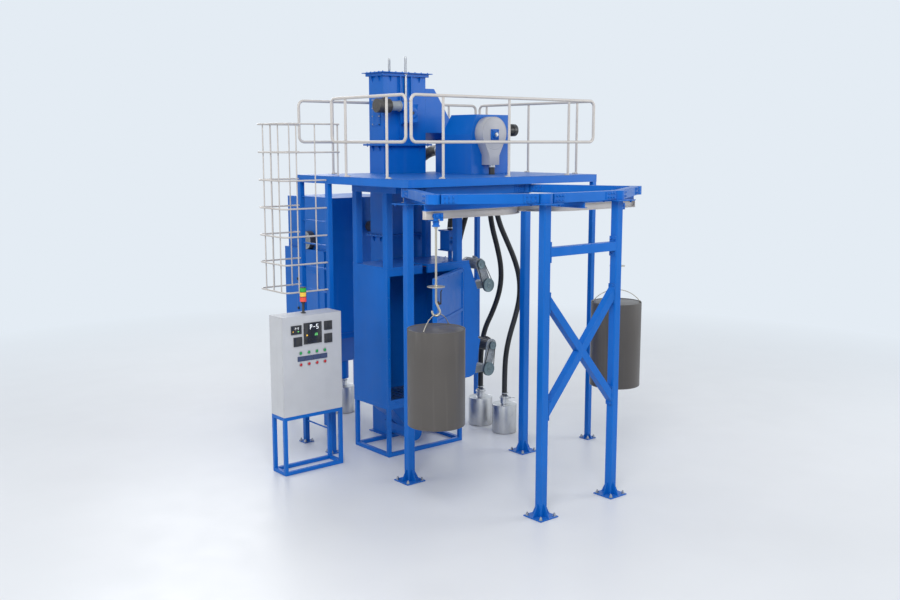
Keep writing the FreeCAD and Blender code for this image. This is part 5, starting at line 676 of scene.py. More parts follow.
class HosesOperator(bpy.types.Operator):
    """Hang the four shot hoses, and clamp them at both ends"""

    bl_idname = "blaster.hoses"
    bl_label = "Hoses"

    def execute(self, context):
        band = self.clamp()
        for name, route in HOSES.items():
            line = bpy.data.curves.new(name + "_line", "CURVE")
            line.dimensions = "3D"
            line.bevel_depth = 0.038
            line.bevel_resolution = 6
            line.resolution_u = 10
            run = line.splines.new("NURBS")
            run.points.add(len(route) - 1)
            for point, place in zip(run.points, route):
                point.co = (*place, 1)
            run.order_u = 3
            run.use_endpoint_u = True
            hose = bpy.data.objects.new(name + "_line", line)
            context.scene.collection.objects.link(hose)
            line.materials.append(FINISHES["hose_rubber"])
            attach(hose, FIXED)
            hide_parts(name)
            top, foot = route[0], route[-1]
            places = [at(top[0], top[1], top[2] - 0.035), at(foot[0], foot[1], foot[2] + 0.03)]
            clamps = copy_to(band, places, name + "_clamps")
            finish(clamps, "bright_steel")
        discard(band)
        return {"FINISHED"}

    def clamp(self):
        """A worm drive hose clamp: a thin band with its screw housing on one side."""
        band = round_bar("hose_clamp", (0, 0, 0), 0.0405, 0.018, sides=40)
        pick(band, lambda middle, way: abs(way.z) > 0.9)
        inset(0.0022)
        bpy.ops.mesh.delete(type="FACE")
        pick(band, lambda middle, way: abs(middle.z) > 0.0085 and math.hypot(middle.x, middle.y) < 0.0395, "EDGE")
        bpy.ops.mesh.bridge_edge_loops()
        bpy.ops.object.mode_set(mode="OBJECT")
        screw = round_bar("clamp_screw", (0.046, 0, 0), 0.006, 0.03, "y", 12)
        head = round_bar("clamp_head", (0.046, -0.019, 0), 0.007, 0.01, "y", 6)
        saddle = bar("clamp_saddle", (0.038, -0.011, -0.0075), (0.05, 0.011, 0.0075))
        round_edges(saddle, 0.002)
        return join("hose_clamp", [band, screw, head, saddle])


CAD_FINISHES = {
    "blue_paint": "blue_enamel", "rail_paint": "rail_primer", "handrail_paint": "handrail_enamel",
    "panel_paint": "panel_coat", "drum_paint": "drum_enamel", "tailings_paint": "housing_enamel",
    "motor_paint": "motor_enamel", "bright_steel": "bright_steel", "bin_steel": "bin_steel",
    "sheave_iron": "sheave_iron", "wear_plate": "liner_plate", "hose_rubber": "hose_rubber",
    "belt_rubber": "belt_rubber", "display_black": "display_glass", "lamp_lens": "lamp_lenses",
}
NODE_FINISHES = {
    "left_hook": "hook_steel", "right_hook": "hook_steel", "drive_housings": "grey_enamel"}


class PaintOperator(bpy.types.Operator):
    """Give every CAD node the finish of its material slot"""

    bl_idname = "blaster.paint"
    bl_label = "Paint"

    def execute(self, context):
        make_finishes(context.scene.blaster_colours)
        for name, made in CAD.items():
            for place in made.material_slots:
                slot = place.material.name.split(".")[0]
                place.material = FINISHES[NODE_FINISHES.get(name, CAD_FINISHES[slot])]
        return {"FINISHED"}


CORNERS = [
    (-0.98, -0.945), (-1.64, -2.245), (-0.585, -2.875), (0.585, -2.875), (1.64, -2.245), (0.98, -0.945)]


class GantryOperator(bpy.types.Operator):
    """Set anchor nuts, splice bolts, plate bolts, rail clips and end stops on the gantry and the legs"""

    bl_idname = "blaster.gantry"
    bl_label = "Gantry fasteners"

    def execute(self, context):
        sizes = context.scene.blaster_fasteners
        nut = anchor_nut("anchor", sizes.anchor)
        feet = [(x, y, 0.108) for x, y in CORNERS[:1] + CORNERS[2:4] + CORNERS[5:]]
        feet += [(2.125, -1.085, 0.061), (2.125, 1.34, 0.061), (-1.075, 0.655, 0.056), (-1.075, 1.34, 0.056)]
        places = [at(x + west * half, y + south * half, 0.012, roll=x + 3 * y)
                  for x, y, half in feet for west in (-1, 1) for south in (-1, 1)]
        finish(copy_to(nut, places, "anchor_nuts"), "bright_steel")
        bolt = hex_bolt("plain_bolt", sizes.head, sizes.head * 0.5)
        finish(copy_to(bolt, self.splices() + self.plates(), "gantry_bolts"), "blue_enamel")
        finish(copy_to(bolt, self.clips(), "rail_bolts"), "rail_primer")
        discard(nut, bolt)
        self.end_stops()
        return {"FINISHED"}

    def splices(self):
        """Six bolts through both faces of each side plate on the ring."""
        places = []
        for index, (x, y) in enumerate(CORNERS):
            for neighbour in (CORNERS[index - 1], CORNERS[(index + 1) % 6]):
                run = Vector((neighbour[0] - x, neighbour[1] - y, 0)).normalized()
                across = Vector((-run.y, run.x, 0))
                for side in (-1, 1):
                    outward = across * side
                    turn = outward.to_track_quat("Z", "Y").to_matrix()
                    for step in (0.122, 0.168, 0.214):
                        for rise in (-0.023, 0.023):
                            spot = Vector((x, y, 3.5975 + rise)) + run * step + outward * 0.058
                            places.append(at(*spot, facing=turn, scale=0.72))
        return places

    def plates(self):
        """Bolts under the head plates and on the end plates of the tie and the braces."""
        places = []
        for index in (0, 2, 3, 5):
            x, y = CORNERS[index]
            level = 3.4577 if index in (0, 5) else 3.5327
            places += [at(x + west * 0.108, y + south * 0.108, level, "-z") for west in (-1, 1) for south in (-1, 1)]
        for level, rise in ((3.01, 0.085), (2.455, 0.099), (1.235, 0.099)):
            for side in (-1, 1):
                for up in (-1, 1):
                    for row in (-0.028, 0.028):
                        places.append(at(side * 0.5227, -2.875 + row, level + up * rise, "-x" if side > 0 else "x",
                                         scale=0.8))
        return places

    def clips(self):
        """Bolts that hold the rail's upper flange under the carriers."""
        places = []
        for side in (-1, 1):
            for x in along(0.66, 1.6, 0.33):
                places += [at(side * x, -2.175 + row, 3.4607, "-z", scale=0.55) for row in (-0.021, 0.021)]
            for y in along(-1.45, 0.4, 0.37):
                places.append(at(side * 0.021, y, 3.4607, "-z", scale=0.55))
        return places

    def end_stops(self):
        """A plate that closes each free end of the rail."""
        plates = []
        for side in (-1, 1):
            low, high = sorted((side * 1.6995, side * 1.6895))
            plate = bar("stop_plate", (low, -2.205, 3.389), (high, -2.145, 3.4604))
            plates.append(round_edges(plate, 0.0015))
        finish(join("rail_end_stops", plates), "rail_primer")


class DrumsOperator(bpy.types.Operator):
    """Make the two hung drums, with their lids and wire bails"""

    bl_idname = "blaster.drums"
    bl_label = "Hung drums"

    def execute(self, context):
        drum = self.drum()
        bail = self.bail()
        for side, x, turn in (("left", -1.54, 24), ("right", 1.42, -40)):
            place = Matrix.Translation((x, -2.175, 0)) @ Matrix.Rotation(math.radians(turn), 4, "Z")
            made = copy_to(drum, [place], side + "_drum_shell")
            finish(made, "drum_enamel", side + "_hanger", replaces=[side + "_drum"])
            made = copy_to(bail, [place], side + "_drum_bail")
            finish(made, "hook_steel", side + "_hanger")
        discard(drum, bail)
        return {"FINISHED"}

    def drum(self):
        """A closed shell with a rolled rim at both ends, sunk lids and two lugs."""
        low, high = 1.105, 2.185
        shell = round_bar("drum", (0, 0, (low + high) / 2), 0.320, high - low, sides=96)
        for way in (1, -1):
            pick(shell, lambda middle, normal: normal.z * way > 0.9)
            inset(0.007)
            inset(0.004, -0.007)
            inset(0.016, 0.0)
            inset(0.003, 0.003)
            bpy.ops.object.mode_set(mode="OBJECT")
        round_edges(shell, 0.0022, 3, 40)
        lugs = []
        for side in (-1, 1):
            lug = bar("lug", (side * 0.300 - 0.012, -0.016, high - 0.0055), (side * 0.300 + 0.012, 0.016, high + 0.012))
            pick(lug, lambda middle, normal: normal.z > 0.9)
            bpy.ops.transform.resize(value=(0.7, 0.55, 1))
            bpy.ops.object.mode_set(mode="OBJECT")
            lugs.append(round_edges(lug, 0.002))
        return join("drum", [shell] + lugs)

    def bail(self):
        """A round wire bent over the drum, from lug to lug."""
        reach, foot, crown, wire = 0.300, 2.190, 2.339, 0.005
        rise = crown - foot
        radius = (reach * reach + rise * rise) / (2 * rise)
        half = math.asin(reach / radius)
        ring = start("circle", "bail", (radius * math.sin(-half), 0, crown - radius + radius * math.cos(half)),
                     turn=(0, math.pi / 2 - half, 0), vertices=12, radius=wire, fill_type="NGON")
        pick(ring, lambda middle, normal: True)
        bpy.ops.mesh.spin(steps=40, angle=-2 * half, center=(0, 0, crown - radius), axis=(0, 1, 0))
        bpy.ops.object.mode_set(mode="OBJECT")
        return ring


def finned_motor(name, radius, length, fins=26, cowl=0.22):
    """A motor that lies along +Z from its flange: ribbed frame and a fan cowl with a slotted end."""
    front, back = length * 0.06, length * (1 - cowl)
    root = radius * 0.87
    frame_part = round_bar(name, (0, 0, (front + back) / 2), root, back - front, sides=fins * 2)
    step = math.pi / fins

    def on_rib(middle, way):
        turn = math.atan2(middle.y, middle.x) % (2 * math.pi)
        return abs(way.z) < 0.5 and int(turn / step) % 2 == 0

    pick(frame_part, on_rib)
    bpy.ops.mesh.extrude_region_shrink_fatten(TRANSFORM_OT_shrink_fatten={"value": radius * 0.985 - root})
    bpy.ops.object.mode_set(mode="OBJECT")
    nose = round_bar(name + "_nose", (0, 0, front / 2), radius * 0.99, front, sides=48)
    round_edges(nose, front * 0.2)
    end = round_bar(name + "_cowl", (0, 0, (back + length) / 2), radius, length - back, sides=48)
    pick(end, lambda middle, way: way.z > 0.9)
    inset(radius * 0.08)
    bpy.ops.transform.translate(value=(0, 0, radius * 0.05))
    for ring in range(4):
        inset(radius * 0.07, -radius * 0.03 if ring % 2 == 0 else radius * 0.03)
        inset(radius * 0.06)
    bpy.ops.object.mode_set(mode="OBJECT")
    round_edges(end, radius * 0.02, 1, 50)
    return join(name, [frame_part, nose, end])


def terminal_box(name, radius, level, size=0.42):
    """A box with a screwed lid and a cable gland, on the motor's +X side."""
    wide = radius * size * 2
    box = bar(name, (radius * 0.84, -wide / 2, level - wide / 2), (radius * 1.02, wide / 2, level + wide / 2))
    pick(box, lambda middle, way: way.x > 0.9)
    inset(-wide * 0.03)
    push((radius * 0.16, 0, 0))
    inset(wide * 0.1, 0.0)
    push((radius * 0.05, 0, 0))
    bpy.ops.object.mode_set(mode="OBJECT")
    round_edges(box, wide * 0.03)
    gland = round_bar(name + "_gland", (radius * 1.08, -wide / 2 - 0.012, level), 0.010, 0.028, "y", 6)
    return join(name, [box, gland])


def around(low, high, level, facing, pitch, scale=1.0):
    """Places along the four sides of a rectangle that lies across a direction."""
    line = "xyz".index(facing[-1])
    spots = {(round(u, 4), v) for u in along(low[0], high[0], pitch) for v in (low[1], high[1])}
    spots |= {(u, round(v, 4)) for v in along(low[1], high[1], pitch) for u in (low[0], high[0])}
    places = []
    for spot in sorted(spots):
        place = list(spot)
        place.insert(line, level)
        places.append(at(*place, facing=facing, scale=scale))
    return places


def circle(x, y, z, facing, radius, count, scale=1.0, turn=0.0):
    """Places on a bolt circle."""
    whole = at(x, y, z, facing)
    return [whole @ Matrix.Rotation(turn + math.tau * step / count, 4, "Z")
            @ Matrix.Translation((radius, 0, 0)) @ Matrix.Scale(scale, 4) for step in range(count)]


def disc(name, radius, rings, sides=48, soft=0.0015):
    """A turned piece on +Z: each ring is a radius and the height at which it starts to run flat."""
    height = rings[0][1]
    made = round_bar(name, (0, 0, height / 2), radius, height, sides=sides)
    for (reach, level), (next_reach, next_level) in zip(rings, rings[1:]):
        pick(made, lambda middle, way: way.z > 0.9 and abs(middle.z - level) < 1e-5
             and math.hypot(middle.x, middle.y) < reach)
        inset(reach - next_reach)
        if abs(next_level - level) > 1e-6:
            push((0, 0, next_level - level))
    bpy.ops.object.mode_set(mode="OBJECT")
    return round_edges(made, soft, 2, 40) if soft else made


def bearing(name, side, depth, shaft):
    """A square cast flange bearing on +Z, with a round boss, a cover and a recess for the shaft."""
    foot = bar(name, (-side / 2, -side / 2, 0), (side / 2, side / 2, depth * 0.3))
    pick(foot, lambda middle, way: abs(way.z) < 0.1 and abs(way.x) + abs(way.y) > 0.9)
    bpy.ops.object.mode_set(mode="OBJECT")
    round_edges(foot, side * 0.12, 3, 60)
    boss = disc(name + "_boss", side * 0.36, [(side * 0.36, depth * 0.8), (side * 0.30, depth), (shaft * 1.3, depth * 0.93)])
    return join(name, [foot, boss])


class DrivesOperator(bpy.types.Operator):
    """Make the blast wheels' motors, the pulleys' faces and the bolts of both belt drives"""

    bl_idname = "blaster.drives"
    bl_label = "Belt drives"

    def execute(self, context):
        sizes = context.scene.blaster_fasteners
        for name, x, z, radius, finish_name, roll in (
                ("upper_drive_motor", 0.992, 2.500, 0.079, "grey_enamel", -60),
                ("lower_drive_motor", 1.219, 1.305, 0.091, "motor_enamel", -60)):
            motor = finned_motor(name + "_part", radius, 0.29, 22)
            box = terminal_box(name + "_box", radius, 0.13)
            motor = join(name + "_part", [motor, box])
            made = copy_to(motor, [at(x, -0.0047, z, "y", math.radians(roll))], name)
            finish(made, finish_name, replaces=["drive_motors"])
            discard(motor)
        bolt = hex_bolt("drive_bolt", sizes.head, sizes.head * 0.5)
        for body, x, z, radius in (
                ("upper_wheel_shaft", 1.131, 2.191, 0.098), ("upper_motor_shaft", 0.992, 2.500, 0.066),
                ("lower_wheel_shaft", 1.145, 0.972, 0.098), ("lower_motor_shaft", 1.219, 1.305, 0.058)):
            face = disc("face", radius * 0.99, [
                (radius * 0.99, 0.0045), (radius * 0.86, 0.0045), (radius * 0.84, 0.001), (radius * 0.40, 0.001),
                (radius * 0.37, 0.0052), (radius * 0.20, 0.0052), (radius * 0.18, 0.0025)], 64, 0.0008)
            made = copy_to(face, [at(x, -0.0552, z, "-y")], body.replace("shaft", "pulley_face"))
            finish(made, "sheave_iron", body)
            screws = copy_to(bolt, circle(x, -0.0600, z, "-y", radius * 0.28, 3, 0.26), body.replace("shaft", "bush_screws"))
            finish(screws, "bright_steel", body)
            discard(face)
        places = []
        for first, second in (((1.131, 2.191), (0.992, 2.500)), ((1.145, 0.972), (1.219, 1.305))):
            run = Vector((second[0] - first[0], 0, second[1] - first[1]))
            across = Vector((run.z, 0, -run.x)).normalized()
            for share in (0.42, 0.62):
                for side in (-1, 1):
                    spot = Vector((first[0], -0.019, first[1])) + run * share + across * side * 0.034
                    places.append(at(*spot, facing="-y", scale=0.6))
        finish(copy_to(bolt, places, "drive_plate_bolts"), "bright_steel")
        discard(bolt)
        return {"FINISHED"}


class ElevatorOperator(bpy.types.Operator):
    """Bolt and stiffen the elevator's flanges, and make its gearmotor, bearings and covers"""

    bl_idname = "blaster.elevator"
    bl_label = "Bucket elevator"

    def execute(self, context):
        sizes = context.scene.blaster_fasteners
        bolt = hex_bolt("flange_bolt", sizes.head, sizes.head * 0.5)
        low, high, pitch = (-0.046, 0.834), (0.735, 1.216), sizes.flange_pitch
        places = []
        for level in (0.9, 2.89, 4.16):
            places += around(low, high, level + 0.0121, "z", pitch, 0.7)
            places += around(low, high, level - 0.0121, "-z", pitch, 0.7)
        places += around(low, high, 5.142, "-z", pitch, 0.7)
        places += [place for place in around(low, high, 5.154, "z", pitch, 0.7)
                   if abs(place.translation.x - 0.3445) > 0.05 or 0.84 < place.translation.y < 1.21]
        finish(copy_to(bolt, places, "elevator_flange_bolts"), "blue_enamel")
        self.rims()
        self.gussets()
        self.gearmotor(bolt)
        self.screws()
        self.bearings(bolt)
        self.covers(bolt, pitch)
        discard(bolt)
        return {"FINISHED"}

    def rims(self):
        """The cap's overhanging plate, and the angles that widen the joint below the head."""
        cap = bar("cap_plate", (-0.098, 0.780, 5.1420), (0.787, 1.268, 5.1541))
        pick(cap, lambda middle, way: abs(way.z) < 0.1)
        bpy.ops.object.mode_set(mode="OBJECT")
        parts = [round_edges(cap, 0.002)]
        for low, high in ((4.1479, 4.1599), (4.1601, 4.1721)):
            for x0, x1, y0, y1 in ((-0.090, 0.779, 0.788, 0.8135), (-0.090, 0.779, 1.2365, 1.262),
                                   (-0.090, -0.0665, 0.8135, 1.2365), (0.7555, 0.779, 0.8135, 1.2365)):
                parts.append(round_edges(bar("rim", (x0, y0, low), (x1, y1, high)), 0.001))
        finish(join("elevator_rims", parts), "blue_enamel")

    def gussets(self):
        """Small three-cornered plates under the flanges."""
        rib = bar("gusset", (-0.003, -0.038, -0.075), (0.003, 0.0, 0.0))
        pick(rib, lambda spot, way: spot.y < -0.03 and spot.z < -0.07, "VERT")
        bpy.ops.transform.translate(value=(0, 0.034, 0))
        bpy.ops.object.mode_set(mode="OBJECT")
        places = []
        for level in (5.102, 4.1475, 2.8775, 0.8875):
            for x in (0.10, 0.60):
                places.append(Matrix.Translation((x, 0.855, level)))
                places.append(Matrix.Translation((x, 1.195, level)) @ Matrix.Rotation(math.pi, 4, "Z"))
            for y in (0.945, 1.105):
                places.append(Matrix.Translation((-0.025, y, level)) @ Matrix.Rotation(-math.pi / 2, 4, "Z"))
                if level < 3:
                    places.append(Matrix.Translation((0.714, y, level)) @ Matrix.Rotation(math.pi / 2, 4, "Z"))
        finish(copy_to(rib, places, "flange_gussets"), "blue_enamel")
        discard(rib)

    def gearmotor(self, bolt):
        """Worm reducer with its bored face and a black disc as painted shade in the bore, the adapter and the flange
        motor.
        """
        middle = 0.343
        case = bar("worm_reducer", (middle - 0.095, 0.6634, 4.463), (middle + 0.095, 0.8207, 4.731))
        pick(case, lambda spot, way: way.y < -0.9)
        inset(0.012)
        push((0, -0.004, 0))
        inset(0.006, -0.003)
        bpy.ops.object.mode_set(mode="OBJECT")
        round_edges(case, 0.006, 3)
        hub = disc("reducer_hub", 0.074, [
            (0.074, 0.012), (0.066, 0.0175), (0.044, 0.0175), (0.040, 0.012), (0.034, 0.012), (0.031, 0.0175),
            (0.024, 0.0175), (0.0235, 0.004)])
        worm = round_bar("worm_case", (middle - 0.095, 0.7234, 4.690), 0.066, 0.19, "x", 40)
        pick(worm, lambda spot, way: abs(way.x) > 0.9)
        inset(0.008)
        inset(0.010, -0.003)
        bpy.ops.object.mode_set(mode="OBJECT")
        round_edges(worm, 0.004)
        foot = bar("reducer_foot", (middle - 0.115, 0.795, 4.445), (middle + 0.115, 0.8207, 4.749))
        round_edges(foot, 0.004)
        face = copy_to(hub, [at(middle, 0.6669, 4.597, "-y")], "reducer_face")
        # A black disc in the bore's mouth: painted shade standing for the dark inside of the hollow shaft.
        bore_shade = disc("reducer_bore", 0.0235, [(0.0235, 0.0045), (0.019, 0.0046)], 32, 0)
        made = join("worm_reducer", [case, face, worm, foot])
        finish(made, "blue_enamel", replaces=["elevator_gearmotor"])
        finish(copy_to(bore_shade, [at(middle, 0.6660, 4.597, "-y")], "reducer_bore_shade_end"), "black_enamel")
        places = circle(middle, 0.6549, 4.597, "-y", 0.0585, 8, 0.42, 0.39)
        places += [at(middle + side * 0.083, 0.6594, 4.597 + rise, "-y", scale=0.5)
                   for side in (-1, 1) for rise in (-0.115, 0.115)]
        finish(copy_to(bolt, places, "reducer_bolts"), "blue_enamel")
        adapter = disc("adapter", 0.0736, [
            (0.0736, 0.016), (0.066, 0.024), (0.066, 0.150), (0.065, 0.152)], 40, 0.002)
        flange = round_bar("adapter_flange", (0, 0, 0.166), 0.0736, 0.021, sides=40)
        round_edges(flange, 0.003)
        adapter = join("adapter", [adapter, flange])
        left = middle - 0.190
        made = copy_to(adapter, [at(left, 0.7234, 4.690, "-x")], "motor_adapter")
        finish(made, "grey_enamel")
        motor = finned_motor("motor_part", 0.0965, 0.215, 26, 0.30)
        box = terminal_box("motor_box", 0.0965, 0.06, 0.30)
        motor = join("motor_part", [motor, box])
        made = copy_to(motor, [at(left - 0.1765, 0.7234, 4.690, "-x", math.radians(35))], "elevator_motor")
        finish(made, "motor_enamel")
        discard(hub, bore_shade, adapter, motor)

    def screws(self):
        """The two take-up screws, threaded over their length above the cap, with nuts, and a plain stem under the
        first.
        """
        rod = round_bar("screw_rod", (0, 0, 0.1250), 0.0185, 0.248, sides=24)
        round_edges(rod, 0.002, 1, 40)
        turn = start("torus", "thread", (0, 0, 0), major_segments=24, minor_segments=4, major_radius=0.0185,
                     minor_radius=0.0014)
        thread = copy_to(turn, [Matrix.Translation((0, 0, level)) for level in along(0.03, 0.22, 0.0062)], "thread")
        nut = hex_bolt("screw_nut", 0.052, 0.022)
        screw = join("screw", [rod, thread, nut])
        places = [at(0.3445, y, 5.1255) for y in (0.834, 1.216)]
        stem = round_bar("screw_stem", (0.3445, 0.834, 4.985), 0.0165, 0.312, sides=24)
        rods = copy_to(screw, places, "rods")
        finish(join("take_up_rods", [rods, stem]), "bright_steel", replaces=["take_up_screws"])
        discard(turn, screw)

    def bearings(self, bolt):
        """Flange bearings of the head and boot shafts, on the faces that the reducer leaves free."""
        part = bearing("bearing_part", 0.13, 0.038, 0.022)
        places = [at(0.38, 1.195, 4.597, "y"), at(0.345, 1.195, 0.36, "y"), at(0.345, 0.855, 0.36, "-y")]
        finish(copy_to(part, places, "elevator_bearings"), "blue_enamel")
        shaft = disc("shaft_end", 0.020, [(0.020, 0.0405), (0.018, 0.0415), (0.006, 0.0415), (0.004, 0.036)], 32, 0)
        finish(copy_to(shaft, places, "shaft_ends"), "bright_steel")
        screws = [place @ Matrix.Translation((side * 0.048, rise * 0.048, 0.0114)) @ Matrix.Scale(0.6, 4)
                  for place in places for side in (-1, 1) for rise in (-1, 1)]
        finish(copy_to(bolt, screws, "bearing_bolts"), "bright_steel")
        discard(part, shaft)

    def covers(self, bolt, pitch):
        """Bolted inspection covers on the boot, the trunk's back and the head's left side."""
        for name, low, high, facing, level in (
                ("boot_cover", (0.145, 0.50), (0.545, 0.80), "-y", 0.855),
                ("boot_back_cover", (0.145, 0.50), (0.545, 0.80), "y", 1.195),
                ("trunk_cover", (0.145, 1.45), (0.545, 2.05), "y", 1.195),
                ("head_cover", (0.925, 4.42), (1.125, 4.80), "-x", -0.025)):
            line = "xyz".index(facing[-1])
            way = -1 if facing[0] == "-" else 1
            near, far = sorted((level, level + way * 0.006))
            first, second = list(low), list(high)
            first.insert(line, near)
            second.insert(line, far)
            plate = bar(name, first, second)
            pick(plate, lambda middle, normal: normal[line] * way > 0.9)
            inset(0.045)
            inset(0.012, -0.0035)
            bpy.ops.object.mode_set(mode="OBJECT")
            round_edges(plate, 0.0012)
            finish(plate, "blue_enamel")
            edge = 0.022
            places = around((low[0] + edge, low[1] + edge), (high[0] - edge, high[1] - edge), level + way * 0.006,
                            facing, pitch * 1.15, 0.62)
            finish(copy_to(bolt, places, name + "_bolts"), "bright_steel")


class SeparatorOperator(bpy.types.Operator):
    """Make the separator's bearing, shaft, screw motor, foot angles, door and the tailings housing's rims"""

    bl_idname = "blaster.separator"
    bl_label = "Separator"

    def execute(self, context):
        sizes = context.scene.blaster_fasteners
        bolt = hex_bolt("separator_bolt", sizes.head, sizes.head * 0.5)
        part = bearing("bearing_part", 0.146, 0.038, 0.026)
        place = at(0.985, -0.3156, 4.300, "-y")
        made = copy_to(part, [place], "screw_bearing")
        finish(made, "blue_enamel", replaces=["separator_drive"])
        shaft = disc("shaft_part", 0.028, [(0.028, 0.046), (0.024, 0.052), (0.014, 0.056), (0.003, 0.056)], 32, 0)
        finish(copy_to(shaft, [place], "screw_shaft_end"), "bright_steel")
        screws = [place @ Matrix.Translation((side * 0.054, rise * 0.054, 0.0114)) @ Matrix.Scale(0.7, 4)
                  for side in (-1, 1) for rise in (-1, 1)]
        finish(copy_to(bolt, screws, "screw_bearing_bolts"), "blue_enamel")
        motor = finned_motor("motor_part", 0.086, 0.2597, 22, 0.24)
        box = terminal_box("motor_box", 0.086, 0.10, 0.36)
        motor = join("motor_part", [motor, box])
        made = copy_to(motor, [at(1.3903, 0.0, 4.365, "x", math.radians(180))], "screw_motor")
        finish(made, "black_enamel")
        self.foot(bolt, sizes.flange_pitch)
        self.door(bolt)
        self.spout()
        discard(part, shaft, motor, bolt)
        return {"FINISHED"}

    def foot(self, bolt, pitch):
        """Angles that bolt the housing to the deck, with their bolts."""
        angles = []
        for low, high in (((0.71, -0.19, 3.7602), (1.39, -0.155, 3.7662)), ((1.39, -0.155, 3.7602), (1.425, 0.49, 3.7662)),
                          ((0.675, -0.155, 3.7602), (0.71, 0.49, 3.7662))):
            angles.append(round_edges(bar("foot_angle", low, high), 0.001))
        finish(join("separator_foot_angles", angles), "blue_enamel")
        places = [at(x, -0.173, 3.7662, scale=0.62) for x in along(0.74, 1.36, pitch) if abs(x - 0.985) > 0.07]
        places += [at(x, y, 3.7662, scale=0.62) for x in (0.692, 1.408) for y in along(-0.11, 0.45, pitch)]
        finish(copy_to(bolt, places, "separator_foot_bolts"), "blue_enamel")

    def door(self, bolt):
        """An inspection door on the right side, with hinges and a turn latch."""
        leaf = bar("separator_door", (1.3902, 0.16, 3.95), (1.3962, 0.42, 4.25))
        pick(leaf, lambda middle, way: way.x > 0.9)
        inset(0.016)
        inset(0.006, 0.005)
        bpy.ops.object.mode_set(mode="OBJECT")
        round_edges(leaf, 0.0015)
        pins = [round_bar("hinge", (1.400, 0.165, z), 0.006, 0.05, "z", 16) for z in (4.0, 4.2)]
        finish(join("separator_door", [leaf, *pins]), "blue_enamel")
        latch = disc("latch", 0.016, [(0.016, 0.012), (0.012, 0.016)], 24)
        handle = bar("latch_handle", (-0.006, -0.006, 0.014), (0.006, 0.055, 0.022))
        round_edges(handle, 0.003)
        latch = join("latch", [latch, handle])
        made = copy_to(latch, [at(1.4010, 0.40, 4.10, "x", math.radians(90))], "separator_door_latch")
        finish(made, "black_enamel")
        discard(latch)

    def spout(self):
        """The round tailings housing that narrows to its neck, with rims, a collar and the pipe into the deck."""
        housing = round_bar("tailings_shell", (0.985, -0.2353, 4.32), 0.2195, 0.1598, "y", 96)
        pick(housing, lambda middle, way: abs(way.y) < 0.3 and abs(math.atan2(middle.x - 0.985, 4.32 - middle.z)) < 0.92)
        push((0, 0, -0.12))
        bpy.ops.transform.resize(value=(0.52, 1, 0.0), center_override=(0.985, -0.2353, 4.02))
        push((0, 0, -0.13))
        bpy.ops.object.mode_set(mode="OBJECT")
        round_edges(housing, 0.002, 2, 40)
        rim = start("torus", "rim", (0.985, -0.3145, 4.32), turn=TURNS["y"], major_segments=96, minor_segments=8,
                    major_radius=0.2165, minor_radius=0.0035)
        finish(join("tailings_shell", [housing, rim]), "housing_enamel",
               replaces=["tailings_housing"])
        collar = disc("collar", 0.049, [(0.049, 0.008), (0.043, 0.008), (0.043, 0.030), (0.041, 0.0305)], 40)
        finish(copy_to(collar, [at(0.985, -0.262, 3.8590)], "spout_collar"), "bright_steel")
        pipe = disc("pipe", 0.0465, [(0.0465, 0.006), (0.0402, 0.006), (0.0402, 0.0985)], 40)
        finish(copy_to(pipe, [at(0.985, -0.262, 3.7605)], "spout_pipe"), "hose_rubber")
        discard(collar, pipe)


class TrolleysOperator(bpy.types.Operator):
    """Put nuts, pins and swivel collars on both trolleys and hooks"""

    bl_idname = "blaster.trolleys"
    bl_label = "Trolleys and hooks"

    def execute(self, context):
        nut = hex_bolt("axle_nut", 0.044, 0.014)
        pin = disc("pin", 0.010, [(0.010, 0.010), (0.007, 0.0125)], 20)
        collar = disc("swivel_collar", 0.0375, [(0.0375, 0.010), (0.035, 0.013)], 40)
        cap = disc("rod_nut", 0.021, [(0.021, 0.014), (0.017, 0.018), (0.0125, 0.018), (0.0125, 0.028)], 24)
        for side, x, turn in (("left", -1.54, 24), ("right", 1.42, -40)):
            places = [at(x + along_rail * 0.0351, -2.175 + way * 0.047, 3.415, "y" if way > 0 else "-y", scale=0.9)
                      for along_rail in (-1, 1) for way in (-1, 1)]
            body = side + "_trolley_body"
            finish(copy_to(nut, places, side + "_axle_nuts"), "blue_enamel", body)
            places = [at(x, -2.175 + way * 0.047, 3.374, "y" if way > 0 else "-y") for way in (-1, 1)]
            finish(copy_to(pin, places, side + "_yoke_pins"), "hook_steel", body)
            made = copy_to(collar, [at(x, -2.175, 3.3400)], side + "_swivel_collar")
            finish(made, "blue_enamel", body)
            hanger = side + "_hanger"
            places = [at(x, -2.175, 3.2960, "-z"), at(x, -2.175, 2.6485, scale=0.9), at(x, -2.175, 2.6395, "-z", scale=0.9)]
            finish(copy_to(cap, places, side + "_rod_nuts"), "hook_steel", hanger)
        discard(nut, pin, collar, cap)
        return {"FINISHED"}


